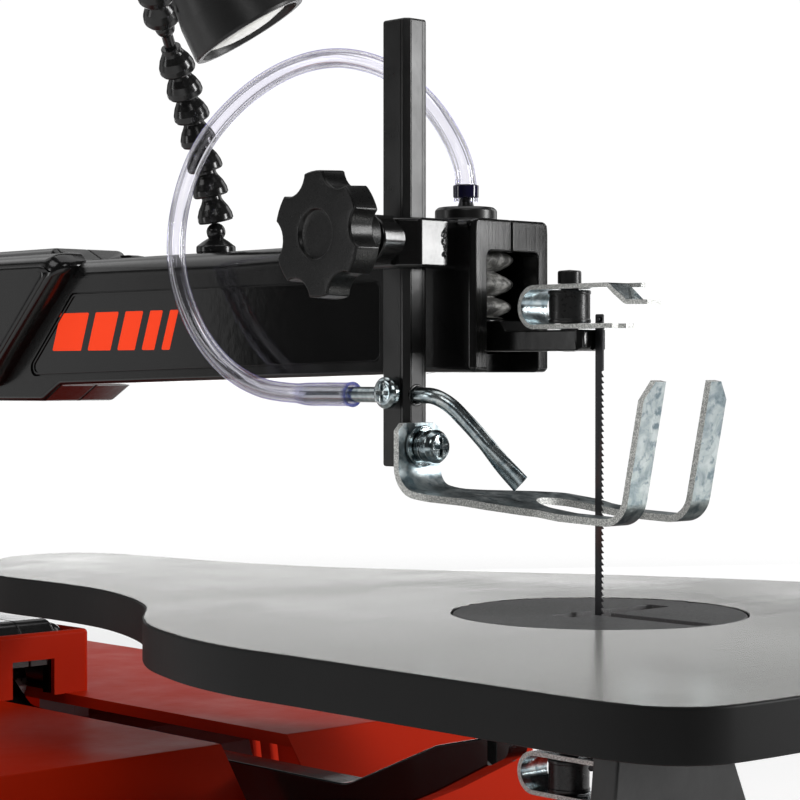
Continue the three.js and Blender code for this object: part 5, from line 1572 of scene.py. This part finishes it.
# -------------------------------------------------------------------- table
HALF = [(-100, -134), (-113, -131.5), (-121, -124), (-124, -112), (-124.2, -70), (-124, -15), (-124, 9), (-121, 30), (-116, 47), (-110, 62), (-101.5, 76), (-92, 88), (-85, 97), (-77, 111), (-69, 131), (-64, 150), (-62, 175), (-62, 208), (-58, 224), (-40, 248), (-24, 266), (-14, 272)]
OTHER = [(2, 272), (12, 267), (17, 258), (21, 240), (27, 200), (36, 168), (53, 134), (71, 104), (89, 74), (104, 44), (113, 22), (120, 2), (124, -22), (124.2, -70), (124, -112), (121, -124), (113, -131.5), (100, -134)]


def smooth_line(pts, n):
    """the closed outline redrawn as a smooth line"""
    m = len(pts)
    ext = [pts[(i - 3) % m] + (0,) for i in range(m + 6)]
    line = catmull(ext, n * 2)
    # keep one turn only
    start = Vector(pts[0] + (0,))
    best = min(range(len(line) // 3), key=lambda i: (line[i] - start).length)
    end = min(range(2 * len(line) // 3, len(line)), key=lambda i: (line[i] - start).length)
    return [(p.x, p.y) for p in line[best:end]]


def table():
    pts = HALF + OTHER
    if area2(pts) < 0:
        pts = pts[::-1]
    out = densify(smooth_line(pts, 150), 2.6)
    n = len(out)
    rings = []
    r = 0.55
    for z, d in ((-12.0, 0.5), (-11.85, 0.15), (-11.5, 0.0), (-6.0, 0.0), (-r - 0.25, 0.0), (-r, 0.0)):
        rings.append([(p, z) for p in inset(out, d)])
    for k in range(1, 4):
        q = PI / 2 * k / 3
        rings.append([(p, -r + r * math.sin(q)) for p in inset(out, r * (1 - math.cos(q)))])
    for d in (1.2, 2.2):
        rings.append([(p, 0.0) for p in inset(out, d)])
    g = rings_solid([[Vector((p[0], p[1], z)) for p, z in ring] for ring in rings])
    inside = inset(out, 5.5)
    pocket = stack(inside, "z", -13, -4.5)
    pocket = cut(pocket, lathe([(0, -14), (48, -14), (48, 0), (0, 0)], 64), box(-46, 46, -90, -56, -14, 0), box(-130, 130, -2.5, 2.5, -14, 0), box(-2.5, 2.5, -140, 280, -14, 0), box(-80, 80, 96, 100, -14, 0), box(-70, 70, 160, 164, -14, 0), box(-72.5, -68, -140, 130, -14, 0), box(68, 72.5, -140, 130, -14, 0))
    g = cut(g, pocket)
    rim_cut = [(0, 1.0), (41.75, 1.0), (41.75, 0.0), (41.45, -0.3), (41.3, -3.3), (0, -3.3)]
    g = cut(g, lathe(rim_cut, 96), lathe([(0, -20), (36, -20), (36, 1), (0, 1)], 64))
    return g, out


tg, table_line = table()
tb = piece("saw_table", tg, "table", ["table"], ["table"], angle=36)
# how near each point is to the outer rim of the top, for the paint's ragged edge
_att = tb.data.attributes.new("rim", "FLOAT", "POINT")
_line = np.array([(x, y) for x, y in table_line])
_vals = []
for _v in tb.data.vertices:
    x, y, z = _v.co.x * 1000, _v.co.y * 1000 - DY, _v.co.z * 1000 - DZ
    d = float(np.min(np.hypot(_line[:, 0] - x, _line[:, 1] - y)))
    if z < -0.6:
        _vals.append(3.0)
    elif z < -0.05:
        _vals.append(1.2)
    else:
        _vals.append(max(0.0, 0.66 - d * 0.3))
_att.data.foreach_set("value", _vals)


def insert():
    ins = lathe(soft([(0, -3), (40.6, -3), (41, -2.6), (41, -0.5, 0.3), (40.55, -0.1, 0.2), (0, -0.1)], 0.2, 3), 96)
    tools = [stack(rect(-14, 27.5, -2.6, 5.6, 1.4, 5), "z", -5, -0.1, rb=-0.25, seg=3, over=1.0), stack(rect(-4.6, 2.0, -39, -1, 0.6, 2), "z", -5, -0.1, rb=-0.25, seg=3, over=1.0)]
    for a in (0, PI):
        tools.append(lathe([(0, -5), (2.2, -5), (2.2, 1), (0, 1)], 24).move(41.4 * math.cos(a), 41.4 * math.sin(a), 0))
    return cut(ins, *tools)


piece("throat_plate", insert(), "table", ["insert"], ["table_insert"], angle=36)


def trunnion():
    disc = [(86 * math.cos(PI + PI * i / 48), 86 * math.sin(PI + PI * i / 48)) for i in range(49)]
    disc = [p for p in disc if p[1] <= -30]
    plate = disc + [(78, -20), (52, -12.3), (-52, -12.3), (-78, -20)]
    g = stack(plate, "y", -76, -68, ra=0.8, rb=0.8, seg=3)
    a0, a1 = -PI / 2 - 0.87, -PI / 2 + 0.08
    slot = [(70.2 * math.cos(a0 + (a1 - a0) * i / 20), 70.2 * math.sin(a0 + (a1 - a0) * i / 20)) for i in range(21)] + [(59.8 * math.cos(a0 + (a1 - a0) * i / 20), 59.8 * math.sin(a0 + (a1 - a0) * i / 20)) for i in range(20, -1, -1)]
    g = cut(g, stack(slot, "y", -76, -68, ra=-0.5, rb=-0.5, seg=3, over=3), stack(rounded([(-38, -22, 4), (38, -22, 4), (26, -48, 6), (-26, -48, 6)], 5), "y", -76, -68, ra=-0.5, rb=-0.5, seg=3, over=3))
    g = join(g, stack(rect(-44, 44, -86, -60, 2.5), "z", -16.8, -12.3, ra=0.8, seg=3))
    # degree marks on the disc's rim
    marks = G()
    for k in range(0, 46, 5):
        ln = 5.0 if k % 15 == 0 else 3.2
        m = box(-0.3, 0.3, -76.12, -75.9, -84.5, -84.5 + ln)
        m.tf(Matrix.Rotation(math.radians(k), 4, Vector((0, 1, 0))))
        marks.add(m.mat(1))
    return g.add(marks)


piece("table_tilt_disc", trunnion(), "table", ["casting", "mark"], ["table_trunnion"], angle=36)


def bracket():
    g = join(stack(rounded([(-26, -104.7, 1), (26, -104.7, 1), (22, -50, 6), (-22, -50, 6)], 5), "y", -64, -54, ra=1, rb=1, seg=3), stack(rect(-34, 34, -64, -38, 4), "z", -104.7, -98, rb=1.5, seg=3))
    g = cut(g, along(lathe([(0, 0), (4.2, 0), (4.2, 20), (0, 20)], 28), (0, 1, 0)).move(0, -70, -65))
    for x in (-26, 26):
        g.add(pan_head(3.6, 2.4, depth=1.2).move(x, -46, -98.3))
    return g


piece("trunnion_block", bracket(), "root", ["casting"], ["trunnion_bracket"], angle=36)


def table_knob():
    g = lobe_knob(5, 17.5, 14.2, 17, 4.2, 16, 0.3, dish_r=6.5)
    g.add(lathe(soft([(0, 0), (8.5, 0, 0.6), (8.5, 4.6, 0.1), (0, 4.6)], 0.4, 3), 40), lathe(soft([(0, -28), (3.2, -28, 0.5), (3.2, 0.4, 0.1), (0, 0.4)], 0.3, 3), 28))
    g.tf(Matrix.Rotation(PI / 2, 4, "X"))
    return g.move(0, -77, -65)


piece("table_clamp_knob", table_knob(), "table_knob", ["knob"], ["table_lock_knob"], angle=33)


# --------------------------------------------------------------------- base
def base():
    rings = []
    for z, u in ((-142, 0.0), (-141.5, 0.0), (-98, 0.5), (-59, 0.94)):
        a = rect(-130 + 12 * u, 130 - 12 * u, -110 + 6 * u, 498 - 6 * u, 26 - 4 * u, 8)
        rings.append([Vector((x, y, z)) for x, y in a])
    rings[0] = [Vector((p.x * 0.998, p.y, p.z)) for p in rings[0]]
    top = rect(-118.3, 118.3, -104.2, 492.2, 22, 8)
    for k in range(1, 6):
        q = PI / 2 * k / 5
        rings.append([Vector((x, y, -59 + 5 * math.sin(q))) for x, y in inset(top, 5 * (1 - math.cos(q)))])
    shell = rings_solid(rings)
    step = stack([(-200, -105), (112, -105), (152, -54), (152, 20), (-200, 20)], "x", -200, 200)
    shell = cut(shell, step)
    shell = bevel(shell, 2.6, 4, 36)
    inner = rings_solid([[Vector((x, y, z)) for x, y in r] for z, r in ((-143, rect(-126.1, 126.1, -106.1, 494.1, 22)), (-58, rect(-114.5, 114.5, -100.5, 488.5, 18)))])
    inner = cut(inner, stack([(-200, -109), (109.5, -109), (149.5, -58), (149.5, 20), (-200, 20)], "x", -200, 200), *[box(x - (12 if x > 0 else 22), x + (22 if x > 0 else 12), y - (12 if y > 0 else 22), y + (22 if y > 0 else 12), -143, -130) for x, y in FEET])
    shell = cut(shell, inner)
    vents = [stack(rect(282 + i * 11, 287 + i * 11, -122, -78, 2.4, 4), "x", 100, 140) for i in range(6)]
    shell = cut(shell, stack(rect(-14, 14, 106, 478, 3, 4), "z", -112, -30), along(lathe([(0, 0), (16, 0), (16, 25), (0, 25)], 40), (0, 1, 0)).move(-62, 480, -98), box(20, 42, -115, -96, -131, -117), *vents)
    return shell


def column_skirt():
    """orange moulding round the column's foot, open where the lower arm comes out"""
    g = stack(rect(-25.6, 25.6, 281.4, 340, 3, 4), "z", -54.2, -30.5, rb=1.6, seg=3)
    return cut(g, stack(rect(-24.15, 24.15, 283.6, 350, 1.5, 4), "z", -60, -20), stack(rect(-9.2, 9.2, 270, 300, 1, 3), "z", -60, -40.5))


piece("column_skirt", column_skirt(), "root", ["orange"], angle=30)
FEET = [(-108, -88), (108, -88), (-108, 475), (108, 475)]
piece("base_cover", base(), "root", ["orange"], ["base_housing"], angle=30)
foot_prof = soft([(0, 0), (10.5, 0, 0.8), (12.4, 1.8, 0.6), (13, 7.5), (13, 9.7, 0.5), (0, 9.7)], 0.5, 4)
for (x, y), nm in zip(FEET, ["front_left", "front_right", "rear_left", "rear_right"]):
    g = lathe(foot_prof, 40)
    g = cut(g, lathe([(0, -1), (4, -1), (3.6, 2.4), (0, 2.4)], 24))
    piece(f"foot_pad_{nm}", g.move(x, y, -152), "root", ["foot_rubber"], [f"rubber_foot_{nm}"], angle=36)


# ------------------------------------------------ control panel, switch, ports
TILT = math.atan2(6, 88)
FRONT = Matrix.Translation((36, -108.75, -123.5)) @ Matrix.Rotation(-TILT, 4, "X")
REAR = Matrix.Translation((-62, 494.9, -98)) @ Matrix.Rotation(TILT, 4, "X")
pg = stack(rect(-56, 56, -15, 15, 4, 6), "y", -6.5, -0.35, ra=1.2, seg=4)
pg = cut(pg, stack(rect(-38.4, -13.6, -9.2, 9.2, 1.5, 4), "y", -9, 1), along(lathe([(0, 0), (4.2, 0), (4.2, 12), (0, 12)], 28), (0, 1, 0)).move(24, -9, 0))
for i in range(9):
    a = math.radians(-120 + 30 * i)
    x, z = 24 + 13.6 * math.sin(a), 13.6 * math.cos(a)
    if abs(z) < 14.2:
        pg.add(along(lathe([(0, 0), (0.55, 0), (0.5, 0.14), (0, 0.16)], 14), (0, -1, 0)).move(x, -6.48, z).mat(1))
for x in (-50, 50):
    pg.add(along(pan_head(2.6, 1.6, depth=0.9), (0, -1, 0)).move(x, -6.3, 0).mat(2))
piece("control_plate", pg.tf(FRONT), "root", ["dark_plastic", "mark", "zinc_fine"], ["control_panel"], angle=36)
rk = stack(rounded([(-9.2, 7, 0.4), (-10.6, 5, 0.8), (-9.4, 0, 3), (-7.4, -7, 0.5), (-3.4, -5.5, 1), (-3.4, 5.5, 1)], 4), "x", -11.2, 11.2, ra=0.5, rb=0.5, seg=3)
bar = box(-0.5, 0.5, -10.35, -9.9, 2.2, 5.0).mat(1)
ring = along(lathe([(1.1, 0), (1.6, 0), (1.6, 0.3), (1.1, 0.3), (1.1, 0)], 24), (0, -1, 0)).move(0, -8.3, -3.4).mat(1)
piece("power_rocker", rk.add(bar, ring).tf(FRONT @ Matrix.Translation((-26, 0, 0))), "switch", ["red", "mark"], ["switch_rocker"], angle=36)
dl = stack([(r * math.cos(a), r * math.sin(a)) for r, a in [((12.2 if (i // 2) % 2 else 11.75), 2 * PI * i / 96) for i in range(96)]], "z", 0, 10, ra=0.3, rb=0.9, seg=3)
dl = cut(dl, box(-0.8, 0.8, 4, 14, 9, 12))
dl.add(lathe([(0, -4.5), (3.6, -4.5), (3.6, 0.5), (0, 0.5)], 28), box(-0.7, 0.7, 4.4, 11.0, 8.9, 9.3).mat(1))
dl.tf(Matrix.Rotation(PI / 2, 4, "X"))
piece("speed_knob", dl.tf(FRONT @ Matrix.Translation((24, -7, 0))), "dial", ["knob", "mark"], ["speed_dial"], angle=33)
port = lathe(soft([(16, 0.5), (27, 0.5, 0.5), (27, 3.5, 0.8), (19.3, 3.5, 1.5), (19, 26, 0.2), (19.0, 30, 0.6), (16, 30, 0.6), (16, 0.5)], 0.3, 4), 64)
port.tf(Matrix.Rotation(-PI / 2, 4, "X"))
for k in range(4):
    a = PI / 4 + PI / 2 * k
    port.add(along(pan_head(2.2, 1.4, depth=0.7), (0, 1, 0)).move(23 * math.cos(a), 3.4, 23 * math.sin(a)).mat(1))
piece("dust_outlet", port.tf(REAR), "root", ["dark_plastic", "zinc_fine"], ["dust_port"], angle=36)
gl = lathe(soft([(3.6, 0.5), (11, 0.5, 0.3), (11, 4, 0.6), (8, 5, 0.5), (7.4, 8, 0.2), (7.7, 8.4, 0.2), (7.1, 11, 0.2), (7.4, 11.4, 0.2), (6.8, 14, 0.2), (7.0, 14.4, 0.2), (6.4, 18, 0.5), (3.6, 18), (3.6, 0.5)], 0.2, 3), 40)
gl.tf(Matrix.Rotation(-PI / 2, 4, "X"))
piece("cord_entry", gl.tf(REAR @ Matrix.Translation((134, 0, -14))), "root", ["dark_plastic"], ["cord_gland"], angle=36)

# ---------------------------------------------------------------- work lamp
col = lathe(soft([(0, 0.3), (6.6, 0.3, 0.5), (6.6, 2.6, 0.8), (4.2, 4.4, 0.8), (2.6, 5.4), (0, 5.4)], 0.4, 4), 40)
ball = lathe([(3.2 * math.sin(PI * i / 16), 7.4 - 3.2 * math.cos(PI * i / 16)) for i in range(17)], 32)
col.add(ball)
piece("lamp_base_collar", col.move(0, 172, ARM_TOP), "root", ["neck"], ["lamp_collar"], angle=40)


def gooseneck(points, ball):
    line = catmull(points, 200)
    total = length_of(line)
    count = round(total / 9.3)
    pitch = total / count

    def at(d):
        i = max(0.0, min(199.0, d / total * 199))
        j = min(int(i), 198)
        return line[j].lerp(line[j + 1], i - j)

    g = G()
    for k in range(count):
        p, q = at(k * pitch), at((k + 1) * pitch)
        last = k == count - 1
        prof = [(0, 0.2), (4.6, 0.2, 0.2), (4.9, -0.25, 0.15), (5.7, -0.2, 0.3), (6.0, 0.5, 0.3), (5.85, 2.2, 1.6), (5.0, 4.4, 1.8), (3.75, 6.4, 1.2), (3.35, 7.3, 0.5), (3.3, pitch + (0 if last else 0.7)), (0, pitch + (0 if last else 0.7))]
        b = lathe(soft(prof, 0.3, 4), 36)
        along(b, (q - p)).move(*p)
        g.add(b)
    if ball:
        s = lathe([(3.2 * math.sin(PI * i / 14), -3.2 * math.cos(PI * i / 14)) for i in range(15)], 28).move(*ball)
        e = Vector(points[-1])
        bb = Vector(ball)
        rod = along(lathe([(0, 0), (1.9, 0), (1.9, (bb - e).length), (0, (bb - e).length)], 20), bb - e).move(*e)
        g.add(s, rod)
    return g


NECK_1 = [(0, 172, 117.6), (-2.2, 172, 126.5), (-5, 171.8, 136), (-9.2, 171, 147), (-16, 168.5, 160), (-25, 164, 172.5)]
NECK_2 = [(-32.2, 158.8, 180.4), (-45, 148, 192.5), (-60, 131, 201.5), (-73, 111, 204.5), (-83, 91, 201), (-89, 75, 193)]
BALL_1, BALL_2 = (-29.6, 160.9, 177.8), (-90.4, 70.7, 189.6)
piece("gooseneck_lower", gooseneck(NECK_1, BALL_1), "neck_lower", ["neck"], ["lamp_neck_lower"], angle=40)
piece("gooseneck_upper", gooseneck(NECK_2, BALL_2), "neck_upper", ["neck"], ["lamp_neck_upper"], angle=40)
aim = Vector((90.4, -70.7, -189.6)).normalized()
hd = lathe(soft([(0, 3.6), (7, 3.6, 0.6), (8, 5, 1), (12, 10, 3), (14.6, 18, 3), (16, 24, 2), (17, 33.2, 0.4), (16.8, 34, 0.3), (15.0, 34, 0.3), (14.6, 33, 0.3), (13.4, 26), (0, 26)], 0.4, 4), 64)
for k in range(10):
    a = 2 * PI * k / 10
    fin = rings_solid([[Vector((-0.5, 9.4, 8)), Vector((0.5, 9.4, 8)), Vector((0.5, 10.8, 8)), Vector((-0.5, 10.8, 8))], [Vector((-0.5, 14.0, 20)), Vector((0.5, 14.0, 20)), Vector((0.5, 15.4, 20)), Vector((-0.5, 15.4, 20))]])
    hd.add(fin.tf(Matrix.Rotation(a, 4, "Z")))
piece("lamp_shade", along(hd, aim).move(*BALL_2), "lamp", ["dark_plastic"], ["lamp_head"], angle=36)
ln = lathe(soft([(0, 26.4), (13, 26.4), (14.2, 31.6, 0.8), (12, 32.6, 1), (8, 33.5, 2), (0, 34)], 0.5, 4), 56)
piece("lamp_window", along(ln, aim).move(*BALL_2), "lamp", ["lens"], ["lamp_lens"], angle=40)


# ------------------------------------------------------------- tension knob
def tension_knob():
    g = lobe_knob(7, 18.5, 16.4, 15, 118, 130, 0.0, dish_r=8.0, dish_d=1.3)
    hub = lathe(soft([(0, 113.4), (9, 113.4, 0.5), (9, 118.4, 0.2), (0, 118.4)], 0.4, 3), 40)
    g.add(hub)
    g = g.move(0, ROD_Y, 0)
    return g


piece("blade_tension_knob", tension_knob(), "tension_knob", ["knob"], ["tension_knob"], angle=33)
rod = lathe(soft([(0, -66), (5.6, -66, 0.4), (5.6, -61, 0.4), (3, -61), (3, 113.2, 0.4), (0, 113.2)], 0.3, 3), 28)
piece("tension_screw_rod", rod.move(0, ROD_Y, 0), "rod", ["steel"], ["tension_rod"], angle=36)

# ------------------------------------------------- pieces kept from the frame
KEEP = {
    "upper_pivot_pin": "steel", "lower_pivot_pin": "steel", "upper_pivot_bush": "bronze", "lower_pivot_bush": "bronze",
    "motor_can": "motor", "motor_end_bell": "motor", "crank": "steel", "connecting_rod": "steel",
}
for nm, mt in KEEP.items():
    ob = NODES[nm]
    ob.data.materials.clear()
    ob.data.materials.append(MT[mt])
